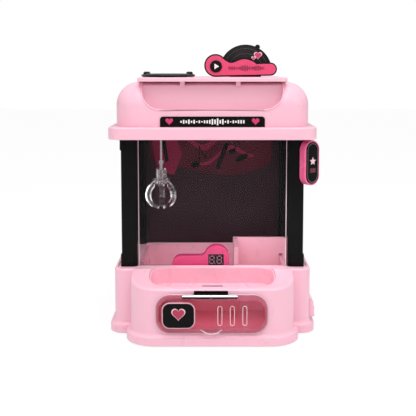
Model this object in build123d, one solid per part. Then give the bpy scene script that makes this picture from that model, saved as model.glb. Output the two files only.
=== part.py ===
from build123d import *

import math
import os

# A toy claw crane machine: pink plastic base with a prize door, a clear cabinet on four
# black posts, and a domed roof that hides a two-axis gantry with a winch and a three-finger claw.
#
# Millimetres, +Z up, the front faces -Y. The origin is on the table under the middle of the
# machine. Every function builds one sub-part, or one family of sub-parts, and returns a dict
# of node name to shape; the last section writes each node to its own STEP file.

# ---------------------------------------------------------------- driving dimensions
WALL = 2.6                     # moulded wall thickness
GAP = 0.3                      # clearance between a fixed part and the next one

# Base
BODY_HALF_X = 130.4            # half width of the base body
BODY_FRONT, BODY_BACK = -71.0, 122.0
BODY_R = 14.0
RIM_Z, SHELF_Z = 86.3, 85.0    # raised rim and the shelf that the posts stand on
RIM_WIDTH = 4.0
DECK_Z = SHELF_Z - WALL        # underside of the shelf
FEET_Z = 1.5                   # the rubber feet lift the shell this far
PLINTH_OUT, PLINTH_Z = 6.0, 11.0
PLINTH_BLEND = 5.6             # concave radius where the plinth meets the wall

# Console in front of the base, with a sloped top
CON_HALF_X, CON_FRONT, CON_R = 106.0, -122.0, 34.0
CON_FRONT_Z = 73.0             # height of the console top at its front face
POCKET_HALF_X, POCKET_FRONT, POCKET_BACK, POCKET_R = 79.6, -112.0, -58.5, 21.0
POCKET_FLOOR = 64.0
POCKET_STEP = 2.4              # width of the countersunk step round the pocket

# Prize window and flap door in the console front
WIN_HALF_X, WIN_Z0, WIN_Z1, WIN_R = 68.0, 22.0, 59.0, 15.0
DOOR_HALF_X, DOOR_Z0, DOOR_Z1, DOOR_R = 71.3, 16.2, 67.6, 19.0
DOOR_MID_X = -0.9
DOOR_BACK, DOOR_THICK = -123.2, 2.2
HINGE_X, HINGE_Y, HINGE_Z = -3.0, -127.6, 65.3
HINGE_R, HINGE_PIN_R = 2.8, 1.0
RUN = 0.05                     # radial clearance of a shaft that turns

# Cabinet
POST = 21.0                    # side of a square post
POST_IN = 100.8                # inner face of a post, from the middle
POST_FRONT, POST_BACK = -53.0, 104.0
POST_TOP = 271.2
PANE_T = 2.0
PANE_TOP = 268.0
FRONT_PANE_Y, BACK_PANEL_Y = -47.0, 93.0
SIDE_PANE_X = 112.0
SOCKET_H = 16.0                # height of the black end sockets on the posts

# Pit, chute and prize outlet inside the base
PIT_HALF_X, PIT_FRONT, PIT_BACK, PIT_R = 98.0, -45.6, 91.6, 12.0
PIT_FLOOR = 46.0
CHUTE_X0, CHUTE_Y1 = 28.0, 24.0
GUARD_TOP = 109.0

# Roof
FRAME_HALF_X, FRAME_FRONT, FRAME_BACK, FRAME_R = 136.8, -79.0, 128.0, 20.0
FRAME_Z0, FRAME_Z1 = 258.0, 274.0
OPEN_HALF_X, OPEN_FRONT, OPEN_BACK = 102.0, -45.0, 96.0
DOME_HALF_X, DOME_FRONT, DOME_BACK, DOME_R = 128.5, -67.0, 118.0, 34.0
DOME_Z1, DOME_EDGE = 332.5, 31.0
GRIP_HALF_X, GRIP_Z0, GRIP_BACK, GRIP_R = 93.0, 296.0, -52.0, 26.0
HATCH_HALF_X, HATCH_FRONT, HATCH_BACK = 84.0, -21.0, 78.0
LID_HALF_X, LID_FRONT, LID_BACK = 97.6, -69.0, 85.0
LID_Z0, LID_Z1 = 333.0, 338.5
LID_PIN_Y, LID_PIN_Z, LID_PIN_R = 91.0, 337.0, 1.25

# Turntable disc on the lid
DISC_X, DISC_Y, DISC_R, DISC_Z = -59.7, -23.0, 36.7, 339.0

# Player sign on the lid: pink bar, black backing and half a record
SIGN_Y, SIGN_X, SIGN_R = 16.0, 4.4, 14.0      # front of the bar, its round left end
SIGN_END_X, SIGN_END_R, SIGN_BOTTOM = 81.4, 7.4, 340.5
SIGN_RISE = 1.4                               # how far the bottom edge climbs to the right end
RECORD_X, RECORD_Z, RECORD_R = 46.5, 346.6, 37.0

# Star button on the right front post
STAR_X, STAR_Y, STAR_Z, STAR_TURN = 131.9, -59.2, 226.0, 35.0
STAR_W, STAR_H, STAR_DEPTH = 26.0, 60.0, 10.5

# Gantry, claw at its parked place
CLAW_X, CLAW_Y = -70.6, -14.0
RAIL_X, RAIL_Z, RAIL_R = 110.0, 278.0, 2.0
RAIL_FRONT, RAIL_BACK = -50.0, 102.0
BEAM_Z, BEAM_R, BEAM_DY = 279.0, 2.0, 14.0
MODULE, PINION_TEETH, PRESSURE = 0.8, 12, 25.0
PITCH_R = MODULE * PINION_TEETH / 2
CORD_R, DRUM_R, DRUM_Z = 1.5, 5.0, 286.0
DRUM_X = CLAW_X + DRUM_R + CORD_R       # the cord leaves the drum straight above the claw
WINCH_MODULE, WINCH_PINION, WINCH_GEAR = 0.7, 12, 32
BACKLASH = 0.16                # how much thinner than nominal each tooth is

# Claw
CLAW_MID_Z, CLAW_A, CLAW_B = 177.0, 19.8, 18.2   # half axes of a finger's centre line
FINGER_T, FINGER_W = 4.8, 8.0
FINGER_PIVOT_R, FINGER_PIVOT_Z = 8.5, 194.5
HUB_R, HUB_Z0, HUB_Z1 = 6.4, 198.2, 213.5
FINGER_ANGLES = (90.0, 210.0, 330.0)


# ---------------------------------------------------------------- helpers
def block(x0, x1, y0, y1, z0, z1):
    """A box between two corners."""
    return Pos((x0 + x1) / 2, (y0 + y1) / 2, (z0 + z1) / 2) * Box(abs(x1 - x0), abs(y1 - y0), abs(z1 - z0))


def slab(x0, x1, y0, y1, z0, z1, r):
    """A box with rounded upright edges."""
    outline = Pos((x0 + x1) / 2, (y0 + y1) / 2, z0) * RectangleRounded(x1 - x0, y1 - y0, r)
    return extrude(outline, amount=z1 - z0)


def upright(x0, x1, z0, z1, y0, y1, r):
    """A slab that stands up and faces the front: rounded in X and Z, thick in Y."""
    outline = RectangleRounded(x1 - x0, z1 - z0, r)
    return Pos((x0 + x1) / 2, y1, (z0 + z1) / 2) * Rot(90, 0, 0) * extrude(outline, amount=y1 - y0)


def facing(sketch, y0, y1):
    """A sketch drawn in X and Z, thickened from y0 back to y1."""
    return Pos(0, y1, 0) * Rot(90, 0, 0) * extrude(sketch, amount=y1 - y0)


def sideways(sketch, x0, x1):
    """A sketch drawn in Y and Z, thickened from x0 across to x1."""
    return Pos(x0, 0, 0) * extrude(Plane.YZ * sketch, amount=x1 - x0)


def rod_x(r, x0, x1, y, z):
    return Pos((x0 + x1) / 2, y, z) * Rot(0, 90, 0) * Cylinder(r, x1 - x0)


def rod_y(r, y0, y1, x, z):
    return Pos(x, (y0 + y1) / 2, z) * Rot(90, 0, 0) * Cylinder(r, y1 - y0)


def rod_z(r, z0, z1, x, y):
    return Pos(x, y, (z0 + z1) / 2) * Cylinder(r, z1 - z0)


def group(solids):
    return Compound(children=list(solids))


def fuse(solids):
    solids = list(solids)
    whole = solids[0]
    for solid in solids[1:]:
        whole = whole + solid
    return whole


# ---------------------------------------------------------------- gear teeth
def involute_gear(module, teeth, thickness, bore):
    """A spur gear on Z, its shaft hole filled later: involute flanks from the root circle to the tip circle."""
    pitch = module * teeth / 2
    base = pitch * math.cos(math.radians(PRESSURE))
    root, tip = pitch - 1.2 * module, pitch + 0.9 * module
    inv = math.tan(math.radians(PRESSURE)) - math.radians(PRESSURE)
    half_pitch_angle = (math.pi * module / 2 - BACKLASH) / 2 / pitch

    def half_angle(r):
        if r <= base:
            return half_pitch_angle + inv
        a = math.acos(base / r)
        return half_pitch_angle + inv - (math.tan(a) - a)

    start = max(root, base)
    radii = [start + (tip - start) * i / 4 for i in range(5)]
    if base > root:
        radii = [root] + radii
    points = []
    for k in range(teeth):
        mid = 2 * math.pi * k / teeth
        flank = [(r, half_angle(r)) for r in radii]
        points += [(r * math.cos(mid - a), r * math.sin(mid - a)) for r, a in flank]
        points += [(r * math.cos(mid + a), r * math.sin(mid + a)) for r, a in reversed(flank)]
    gear = extrude(make_face(Polyline(*points, close=True)), amount=thickness)
    return gear - Pos(0, 0, thickness / 2) * Cylinder(bore, thickness * 2)


def rack_outline(module, teeth, body):
    """Rack teeth along +X with their pitch line on Y = 0, on a bar that is body deep."""
    pitch = math.pi * module
    slope = math.tan(math.radians(PRESSURE))
    tip, root = 0.85 * module, -1.25 * module
    half = (pitch / 2 - BACKLASH) / 2
    points = [(-pitch / 2, root - body), (-pitch / 2, root)]
    for k in range(teeth):
        mid = k * pitch
        points += [(mid - half + root * slope, root), (mid - half + tip * slope, tip)]
        points += [(mid + half - tip * slope, tip), (mid + half - root * slope, root)]
    points += [((teeth - 0.5) * pitch, root), ((teeth - 0.5) * pitch, root - body)]
    return make_face(Polyline(*points, close=True))


# ---------------------------------------------------------------- base
def base_outline(grow):
    """Plan of the body with the console in front of it, grown or shrunk all round."""
    body = Pos(0, (BODY_FRONT + BODY_BACK) / 2) * RectangleRounded(
        2 * (BODY_HALF_X + grow), BODY_BACK - BODY_FRONT + 2 * grow, BODY_R + grow)
    back = BODY_FRONT + 80
    console = Pos(0, (CON_FRONT + back) / 2) * RectangleRounded(
        2 * (CON_HALF_X + grow), back - CON_FRONT + 2 * grow, CON_R + grow)
    return body + console


def console_cut(drop):
    """What lies above the console's sloped top, in front of the body."""
    run = BODY_FRONT - CON_FRONT
    slope = (RIM_Z - CON_FRONT_Z) / run
    far = CON_FRONT - 30
    profile = Polyline(
        (BODY_FRONT, RIM_Z - drop), (far, RIM_Z - drop - slope * (BODY_FRONT - far)),
        (far, RIM_Z + 60), (BODY_FRONT, RIM_Z + 60), close=True)
    return sideways(make_face(profile), -150, 150)


def pocket_prism(grow, z0, z1):
    return slab(-POCKET_HALF_X - grow, POCKET_HALF_X + grow, POCKET_FRONT - grow, POCKET_BACK + grow,
                z0, z1, POCKET_R + grow)


def base_shell():
    """Body and console in one moulding, open underneath."""
    outer = extrude(Pos(0, 0, FEET_Z) * base_outline(0), amount=RIM_Z - FEET_Z) - console_cut(0)
    slope_edges = [e for e in outer.edges()
                   if e.center().Y < BODY_FRONT - 4 and e.center().Z > CON_FRONT_Z - 3]
    outer = fillet(slope_edges, 3.6)
    plinth = extrude(Pos(0, 0, FEET_Z) * base_outline(PLINTH_OUT), amount=PLINTH_Z - FEET_Z)
    outer = outer + plinth
    inner_edges = [e for e in outer.edges()
                   if abs(e.center().Z - PLINTH_Z) < 0.01 and on_body_wall(e)]
    outer = fillet(inner_edges, PLINTH_BLEND)
    rim_edges = [e for e in outer.edges() if abs(e.center().Z - RIM_Z) < 0.01 and e.center().Y > BODY_FRONT + 3]
    outer = fillet(rim_edges, 2.2)
    shelf = slab(-BODY_HALF_X + RIM_WIDTH, BODY_HALF_X - RIM_WIDTH, BODY_FRONT + RIM_WIDTH, BODY_BACK - RIM_WIDTH,
                 SHELF_Z, RIM_Z + 5, BODY_R - RIM_WIDTH)
    hollow = extrude(base_outline(-WALL), amount=DECK_Z) - console_cut(WALL + 1.3)
    hollow = hollow & block(-200, 200, -200, 200, 0, DECK_Z)
    pit = slab(-PIT_HALF_X - 2, PIT_HALF_X + 2, PIT_FRONT - GAP, PIT_BACK + GAP, DECK_Z - 5, RIM_Z + 5, PIT_R)
    pocket = pocket_prism(2 + GAP, POCKET_FLOOR - 4, RIM_Z + 5)
    window = upright(-WIN_HALF_X + DOOR_MID_X, WIN_HALF_X + DOOR_MID_X, WIN_Z0, WIN_Z1,
                     CON_FRONT - 10, CON_FRONT + 6, WIN_R)
    shell = outer - hollow - shelf - pit - pocket - window
    vents = [upright(-92 + 9 * i, -88 + 9 * i, 26, 56, BODY_BACK - 6, BODY_BACK + 2, 1.9) for i in range(6)]
    switch_slot = block(BODY_HALF_X - 6, BODY_HALF_X + 2, -43.5, -30.5, 20.5, 27.5)
    socket_slot = block(BODY_HALF_X - 6, BODY_HALF_X + 2, -22.8, -13.2, 20.2, 24.2)
    for cut in [*vents, switch_slot, socket_slot]:
        shell = shell - cut
    return shell


def on_body_wall(edge):
    """Whether the edge's middle lies on the base outline, and not on the plinth's."""
    p = edge @ 0.5
    probe = base_outline(PLINTH_OUT / 2)
    return probe.faces()[0].is_inside((p.X, p.Y, 0))


def build_base():
    nodes = {"base_shell": base_shell()}

    floor = extrude(Pos(0, 0, FEET_Z) * base_outline(-WALL - GAP), amount=2.4)
    battery_hole = slab(-34, 34, 40, 100, 0, 10, 3)
    nodes["bottom_plate"] = floor - battery_hole
    nodes["battery_door"] = slab(-34 + GAP, 34 - GAP, 40 + GAP, 100 - GAP, FEET_Z, FEET_Z + 2.2, 2.7)
    feet = [rod_z(9, 0, FEET_Z, sx * 100, y) for sx in (-1, 1) for y in (-56, 100)]
    nodes["rubber_feet"] = group(feet)

    box = slab(-36, 36, 38, 102, FEET_Z + 2.4, 24, 3) - block(-33, 33, 41, 90.4, 0, 22)
    box = box - block(-33, 33, 92, 99, 0, 22) - rod_z(2.5, 0, 12, 0, 95)
    nodes["battery_box"] = box
    cells = [rod_x(7.1, -25.2, 25.2, 49 + 16 * i, 13) + rod_x(2.6, 25, 26.6, 49 + 16 * i, 13) for i in range(3)]
    nodes["battery_cells"] = group(cells)

    posts = [rod_z(3, FEET_Z + 2.4, 14.1, x, y) for x in (-107, -51) for y in (-25, 21)]
    chips = [block(-92, -78, -8, 6, 15.5, 18.2), block(-72, -66, 8, 18, 15.5, 27), block(-104, -98, 8, 18, 15.5, 27),
             block(-60, -50, -24, -18, 15.5, 22)]
    nodes["main_board"] = fuse([slab(-112, -46, -30, 26, 14, 15.6, 3), *posts, *chips])

    cone = rod_y(24, BODY_BACK - WALL - 4, BODY_BACK - WALL - 0.5, -67.5, 34) + \
        rod_y(13, BODY_BACK - WALL - 17, BODY_BACK - WALL - 4, -67.5, 34)
    nodes["speaker"] = cone - rod_y(20, BODY_BACK - WALL - 2, BODY_BACK, -67.5, 34)
    return nodes


def build_pit():
    """Prize pit with its chute, the guard wall round the chute and the outlet behind the door."""
    x1, y0, y1 = PIT_HALF_X, PIT_FRONT, PIT_BACK
    tray = slab(-x1, x1, y0, y1, PIT_FLOOR, DECK_Z - 0.1, PIT_R)
    tray = tray + slab(-x1 - 8, x1 + 8, y0 - 8, y1 + 8, DECK_Z - 2.1, DECK_Z - 0.1, PIT_R + 4)
    tray = tray - slab(-x1 + 2, x1 - 2, y0 + 2, y1 - 2, PIT_FLOOR + 2, DECK_Z + 5, PIT_R - 2)
    hole = slab(CHUTE_X0 + 8.5, x1 - 2, y0 + 2, CHUTE_Y1 - 4.5, PIT_FLOOR - 1, PIT_FLOOR + 3, 4)
    nodes = {"pit_tray": tray - hole}

    # The guard stands on the tray: a tapered wall beside the chute and one behind it.
    z0, z1 = PIT_FLOOR + 2 + GAP, GUARD_TOP
    side = Polyline((CHUTE_X0, z0), (CHUTE_X0 + 8.2, z0), (CHUTE_X0 + 6.9, z1), (CHUTE_X0 + 1.6, z1), close=True)
    side_wall = facing(make_face(side), y0 + 2.4, CHUTE_Y1)
    rear = Polyline((CHUTE_Y1 - 4.2, z0), (CHUTE_Y1 + 2.6, z0), (CHUTE_Y1 + 1.2, z1), (CHUTE_Y1 - 3, z1), close=True)
    rear_wall = sideways(make_face(rear), CHUTE_X0 + 1.6, x1 - 2.4)
    wing = Polyline((CHUTE_Y1 - 3.4, SHELF_Z + GAP), (CHUTE_Y1 + 1.7, SHELF_Z + GAP),
                    (CHUTE_Y1 + 1.2, z1), (CHUTE_Y1 - 3, z1), close=True)
    guard = side_wall + rear_wall + sideways(make_face(wing), x1 - 3, x1 + 8)
    top_corner = [e for e in guard.edges().filter_by(Axis.Y) if e.center().Z > z1 - 0.1 and e.center().X > x1]
    if top_corner:
        guard = fillet(top_corner, 5)
    nodes["chute_guard"] = guard

    # Outlet: a wide shallow box behind the door, fed by a ramp under the chute hole.
    ow, oy0, oy1 = WIN_HALF_X + 2, CON_FRONT + WALL + GAP, -46.0
    outlet = block(-ow, x1, oy0, oy1, WIN_Z0 - 2, WIN_Z1 + 2.0) - block(ow, x1 + 1, oy0 - 1, -70, 0, 90)
    outlet = outlet - block(-ow + 2, ow - 2, oy0 - 1, oy1 - 2, WIN_Z0, WIN_Z1)
    outlet = outlet - block(CHUTE_X0 + 9, x1 - 2, -68, oy1 + 1, WIN_Z0, WIN_Z1)
    ramp_side = Polyline((oy1 + 0.2, WIN_Z0 - 2), (oy1 + 0.2, PIT_FLOOR - 0.2), (CHUTE_Y1, PIT_FLOOR - 0.2),
                         (CHUTE_Y1, PIT_FLOOR - 8), close=True)
    ramp_void = Polyline((oy1 - 2, WIN_Z0), (oy1 - 2, PIT_FLOOR + 5), (CHUTE_Y1 - 4, PIT_FLOOR + 5),
                         (CHUTE_Y1 - 4, PIT_FLOOR - 5), close=True)
    ramp = sideways(make_face(ramp_side), CHUTE_X0 + 7, x1) - sideways(make_face(ramp_void), CHUTE_X0 + 9, x1 - 2)
    nodes["outlet_box"] = group([outlet, ramp])
    return nodes


def build_console():
    """Pocket for the control deck, with its plug socket on the floor."""
    cup = pocket_prism(2, POCKET_FLOOR - 2, RIM_Z + 5) - pocket_prism(0, POCKET_FLOOR, RIM_Z + 9)
    step = pocket_prism(POCKET_STEP, POCKET_FLOOR, RIM_Z + 9) - (
        pocket_prism(POCKET_STEP + 3, POCKET_FLOOR - 2, RIM_Z + 9) - console_cut(3.4))
    cup = cup - console_cut(1.7)
    cup = cup & block(-200, 200, -200, 200, 0, SHELF_Z - 0.6)
    nodes = {"deck_pocket": cup}
    socket = slab(-14, 14, -96, -84, POCKET_FLOOR + 0.1, POCKET_FLOOR + 3.6, 2)
    socket = socket - slab(-11, 11, -93.5, -86.5, POCKET_FLOOR + 1.2, POCKET_FLOOR + 9, 1)
    plug = slab(-4.5, 4.5, -1.8, 1.8, 0, 6, 1.6) - slab(-3.6, 3.6, -1.0, 1.0, 1, 8, 0.9)
    charger = Pos(BODY_HALF_X + 0.25, -18, 22.2) * Rot(0, 90, 0) * Rot(0, 0, 90) * plug
    nodes["power_sockets"] = group([socket, charger])
    return nodes


def build_display():
    """Count-down display in a low arched housing behind the front pane."""
    z0, shoulder, arch_x, arch_z, arch_r = PIT_FLOOR + 2 + GAP, 97.5, 5.7, 94.7, 17.0
    left = -55.0
    low = Pos((left + arch_x) / 2, (z0 + shoulder) / 2) * Rectangle(arch_x - left, shoulder - z0)
    low = fillet([v for v in low.vertices() if v.X < left + 1 and v.Y > shoulder - 1], 13)
    tower = Pos(arch_x, (z0 + arch_z) / 2) * Rectangle(2 * arch_r, arch_z - z0) + Pos(arch_x, arch_z) * Circle(arch_r)
    outline = low + tower
    notch = [v for v in outline.vertices() if abs(v.Y - shoulder) < 0.1 and v.X > left + 20]
    outline = fillet(notch, 8)
    y0, y1 = PIT_FRONT + 2.2, -31.0
    housing = facing(outline, y0, y1)
    front_edges = [e for e in housing.edges() if abs(e.center().Y - y0) < 0.01 and e.center().Z > z0 + 5]
    housing = fillet(front_edges, 1.6)
    screen = block(4.9 - 10.3, 4.9 + 10.3, y0 - 0.2, y0 + 6, 83.4, 99.4)
    nodes = {"display_housing": housing - block(4.9 - 10.4, 4.9 + 10.4, y0 - 2, y0 + 6.1, 83.3, 99.5)}
    nodes["display_module"] = screen
    return nodes


# ---------------------------------------------------------------- cabinet
def post(side, y0):
    """A black corner post, grooved for the panes that meet it."""
    x0, x1 = POST_IN, POST_IN + POST
    bar = slab(x0, x1, y0, y0 + POST, SHELF_Z + 0.1, POST_TOP, 2.5)
    front = y0 < 0
    pane_y = FRONT_PANE_Y if front else BACK_PANEL_Y
    bar = bar - block(x0 - 1, x0 + 3.2, pane_y - 0.2, pane_y + PANE_T + 0.2, 0, 300)
    gy0, gy1 = (y0 + POST - 3.2, y0 + POST + 1) if front else (y0 - 1, y0 + 3.2)
    bar = bar - block(SIDE_PANE_X - 0.2, SIDE_PANE_X + PANE_T + 0.2, gy0, gy1, 0, 300)
    lip = block(x0 - 1, x0 + 2.2, y0 - 1, y0 + 0.9, 0, 300) if front else block(x0 - 1, x0 + 2.2, y0 + POST - 0.9,
                                                                              y0 + POST + 1, 0, 300)
    bar = bar - lip
    return bar if side > 0 else mirror(bar, Plane.YZ)


def post_sleeves(z0, z1):
    """Black sleeves round the outer corner of each post, at one height."""
    sleeves = []
    for y0 in (POST_FRONT, POST_BACK - POST):
        x0, x1 = POST_IN, POST_IN + POST
        ya, yb = (y0 - 0.9, y0 + POST - 3.6) if y0 < 0 else (y0 + 3.6, y0 + POST + 0.9)
        shell = slab(x0 + 2.6, x1 + 1.4, ya, yb, z0, z1, 3)
        shell = shell - slab(x0 - 5, x1 + 0.05, y0 - 0.05, y0 + POST + 0.05, z0 - 1, z1 + 1, 2.5)
        sleeves += [shell, mirror(shell, Plane.YZ)]
    return sleeves


def build_cabinet():
    nodes = {"corner_posts": group([post(side, y0) for side in (-1, 1) for y0 in (POST_FRONT, POST_BACK - POST)])}
    lower = post_sleeves(SHELF_Z + 0.1, SHELF_Z + SOCKET_H)
    nodes["post_sockets"] = group(lower + post_sleeves(FRAME_Z0 - SOCKET_H, POST_TOP))

    z0 = SHELF_Z + GAP
    half = POST_IN + 3
    nodes["front_pane"] = block(-half, half, FRONT_PANE_Y, FRONT_PANE_Y + PANE_T, z0, PANE_TOP)
    nodes["back_panel"] = block(-half, half, BACK_PANEL_Y, BACK_PANEL_Y + PANE_T, z0, PANE_TOP)
    y0, y1 = POST_FRONT + POST - 3, POST_BACK - POST + 3
    side = block(SIDE_PANE_X, SIDE_PANE_X + PANE_T, y0, y1, z0, PANE_TOP)
    nodes["side_panes"] = group([side, mirror(side, Plane.YZ)])
    nodes["backdrop_card"] = block(-96, 96, BACK_PANEL_Y - 0.9, BACK_PANEL_Y - 0.1, z0 + 1, 262)
    return nodes


# ---------------------------------------------------------------- roof
def rounded_dome(grow, z0):
    top = DOME_Z1 + grow
    solid = slab(-DOME_HALF_X - grow, DOME_HALF_X + grow, DOME_FRONT - grow, DOME_BACK + grow, z0, top, DOME_R + grow)
    edges = [e for e in solid.edges() if abs(e.center().Z - top) < 0.01]
    return fillet(edges, DOME_EDGE + grow)


def grip_shape(grow, y1):
    """The finger recess in the dome's front: open at the top, rounded at its lower corners."""
    x, z0 = GRIP_HALF_X + grow, GRIP_Z0 - grow
    recess = upright(-x, x, z0, DOME_Z1 + 60, DOME_FRONT - 20, y1 + grow, GRIP_R + grow)
    return recess


def build_roof():
    frame = slab(-FRAME_HALF_X, FRAME_HALF_X, FRAME_FRONT, FRAME_BACK, FRAME_Z0, FRAME_Z1, FRAME_R)
    frame = fillet([e for e in frame.edges() if abs(e.center().Z - FRAME_Z1) < 0.01], 2.2)
    frame = fillet([e for e in frame.edges() if abs(e.center().Z - FRAME_Z0) < 0.01], 0.8)
    frame = frame - slab(-FRAME_HALF_X + 3, FRAME_HALF_X - 3, FRAME_FRONT + 3, FRAME_BACK - 3,
                         FRAME_Z0 - 5, FRAME_Z1 - WALL, FRAME_R - 3)
    frame = frame - slab(-OPEN_HALF_X, OPEN_HALF_X, OPEN_FRONT, OPEN_BACK, FRAME_Z0, FRAME_Z1 + 5, 6)
    nodes = {"roof_frame": frame}

    z0 = FRAME_Z1 + 0.05
    dome = rounded_dome(0, z0) - rounded_dome(-WALL, z0 - 5)
    liner = (grip_shape(WALL, GRIP_BACK) - grip_shape(0, GRIP_BACK)) & rounded_dome(0, z0)
    hatch = slab(-HATCH_HALF_X, HATCH_HALF_X, HATCH_FRONT, HATCH_BACK, DOME_Z1 - 20, DOME_Z1 + 5, 10)
    dome = dome - grip_shape(0, GRIP_BACK) + liner - hatch
    ears = []
    for sx in (-1, 1):
        for x in (50.6, 68.4):
            ear = block(x - 2, x + 2, LID_PIN_Y - 3.4, LID_PIN_Y + 3.4, DOME_Z1 - 2.2, LID_PIN_Z)
            ear = ear + rod_x(3.4, x - 2, x + 2, LID_PIN_Y, LID_PIN_Z)
            ear = ear - rod_x(LID_PIN_R + 0.02, x - 3, x + 3, LID_PIN_Y, LID_PIN_Z)
            ears.append(ear if sx > 0 else mirror(ear, Plane.YZ))
    nodes["roof_dome"] = fuse([dome, *ears])

    title = Pos(0, FRAME_Z1 + 7) * Rectangle(136.6, 13.6)
    title = fillet([v for v in title.vertices() if v.Y > FRAME_Z1 + 7], 4)
    nodes["title_plate"] = facing(title, DOME_FRONT - 1.2, DOME_FRONT - 0.02)
    screws = [rod_z(3.2, FRAME_Z1 - WALL - 2.2, FRAME_Z1 - WALL - 0.05, sx * 126.5, y) for sx in (-1, 1)
              for y in (-40, 24, 90)]
    nodes["case_screws"] = group([*screws, rod_z(2.4, FEET_Z + 2.25, FEET_Z + 9, 0, 95)])
    return nodes


def build_lid():
    """Hinged loading lid with snap tabs, and the turntable disc that spins on it."""
    plate = slab(-LID_HALF_X, LID_HALF_X, LID_FRONT, LID_BACK, LID_Z0, LID_Z1, 6)
    plate = fillet([e for e in plate.edges() if abs(e.center().Z - LID_Z1) < 0.01], 1.6)
    ring = slab(-HATCH_HALF_X + 1.4, HATCH_HALF_X - 1.4, HATCH_FRONT + 1.6, HATCH_BACK - 1.6, LID_Z0 - 6, LID_Z0, 8.6)
    ring = ring - slab(-HATCH_HALF_X + 3.4, HATCH_HALF_X - 3.4, HATCH_FRONT + 3.6, HATCH_BACK - 3.6,
                       LID_Z0 - 8, LID_Z0 + 1, 7)
    lid = plate + ring
    for x in (-39.5, 34.0):
        lid = lid + block(x - 3.2, x + 3.2, GRIP_BACK - 3.2, GRIP_BACK - 0.6, LID_Z0 - 6.6, LID_Z0 + 1)
    for sx in (-1, 1):
        x0, x1 = sx * 59.5 - 6.5, sx * 59.5 + 6.5
        arm = block(x0, x1, LID_BACK - 4, LID_PIN_Y, LID_Z0 + 0.6, LID_Z1 - 0.2)
        lid = lid + arm + rod_x(3.2, x0, x1, LID_PIN_Y, LID_PIN_Z)
    for sx in (-1, 1):
        lid = lid - rod_x(LID_PIN_R + RUN, sx * 59.5 - 9, sx * 59.5 + 9, LID_PIN_Y, LID_PIN_Z)
    lid = lid - rod_z(2.5 + RUN, LID_Z0 - 1, LID_Z1 + 1, DISC_X, DISC_Y)
    lid = lid - rod_z(4.6, LID_Z0 - 1, LID_Z0 + 2.2, DISC_X, DISC_Y)
    nodes = {"top_lid": lid}
    nodes["lid_hinge_pins"] = group(
        [rod_x(LID_PIN_R, sx * 59.5 - 10.6, sx * 59.5 + 10.6, LID_PIN_Y, LID_PIN_Z) for sx in (-1, 1)])

    # Turntable disc: a dished platter on a stepped spindle, with two finger grips.
    z = DISC_Z
    profile = Polyline((0, z), (DISC_R - 2, z), (DISC_R, z + 1.6), (DISC_R - 1.2, z + 3.2), (DISC_R - 6, z + 4.4),
                       (DISC_R - 10, z + 4.2), (DISC_R - 12, z + 2.4), (8, z + 2.4), (7, z + 3.4), (0, z + 3.4),
                       close=True)
    disc = Pos(DISC_X, DISC_Y, 0) * revolve(make_face(Plane.XZ * profile), Axis.Z)
    for sx in (-1, 1):
        grip = Pos(DISC_X + sx * 28.8, DISC_Y, z + 3.4) * extrude(RectangleRounded(8.6, 17, 3.6), amount=3.6)
        disc = disc + fillet([e for e in grip.edges() if e.center().Z > z + 6.9], 2.2)
    spindle = rod_z(2.5, LID_Z0 + 0.4, DISC_Z + 1, DISC_X, DISC_Y)
    nodes["record_disc"] = disc + spindle + rod_z(4.2, LID_Z0 + 0.3, LID_Z0 + 1.8, DISC_X, DISC_Y)
    return nodes


def sign_outline(grow):
    """The player bar seen from the front: a round left end, a wavy top and a round right end."""
    left_r, end_r = SIGN_R + grow, SIGN_END_R + grow
    left_z = SIGN_BOTTOM + SIGN_R
    end_z = SIGN_BOTTOM + SIGN_RISE + SIGN_END_R
    lean = math.radians(48)
    shoulder = (SIGN_X + left_r * math.cos(lean), left_z + left_r * math.sin(lean))
    top = Spline(shoulder, (SIGN_X + 21.5, SIGN_BOTTOM + 17.4 + grow), (SIGN_X + 40.8, SIGN_BOTTOM + 22.6 + grow),
                 (SIGN_X + 56, SIGN_BOTTOM + 16.8 + grow), (SIGN_END_X, end_z + end_r),
                 tangents=((math.sin(lean), -math.cos(lean)), (1, 0)))
    right = ThreePointArc((SIGN_END_X, end_z + end_r), (SIGN_END_X + end_r, end_z), (SIGN_END_X, end_z - end_r))
    bottom = Line((SIGN_END_X, end_z - end_r), (SIGN_X, left_z - left_r))
    left = ThreePointArc((SIGN_X, left_z - left_r), (SIGN_X - left_r, left_z), shoulder)
    return make_face([top, right, bottom, left])


def build_sign():
    """Player sign: a pink wave-topped bar on a black backing, with half a record and its arm behind."""
    bar, backing = sign_outline(0), sign_outline(1.9)
    half = Pos(RECORD_X, RECORD_Z) * Circle(RECORD_R)
    half = half & (Pos(RECORD_X, RECORD_Z + 50 - 3) * Rectangle(200, 100))
    arm = Pos(RECORD_X + 17, RECORD_Z + RECORD_R - 3.2) * Circle(3.4)
    nodes = {"sign_bar": facing(bar, SIGN_Y, SIGN_Y + 3)}
    nodes["sign_backing"] = facing(backing, SIGN_Y + 3.05, SIGN_Y + 5.5)
    nodes["sign_play_disc"] = rod_y(8.4, SIGN_Y - 1.2, SIGN_Y - 0.02, SIGN_X + 0.6, SIGN_BOTTOM + SIGN_R - 1.4)
    foot = block(RECORD_X - 22, RECORD_X + 22, SIGN_Y + 8.05, SIGN_Y + 13, LID_Z1 + 0.05, LID_Z1 + 10)
    foot = foot - block(RECORD_X - 14, RECORD_X + 14, SIGN_Y + 10.6, SIGN_Y + 14, LID_Z1 + 2.5, LID_Z1 + 12)
    nodes["sign_record"] = group([facing(half, SIGN_Y + 5.55, SIGN_Y + 8), facing(arm, SIGN_Y + 8.05, SIGN_Y + 10.5),
                                  foot])
    return nodes


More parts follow.
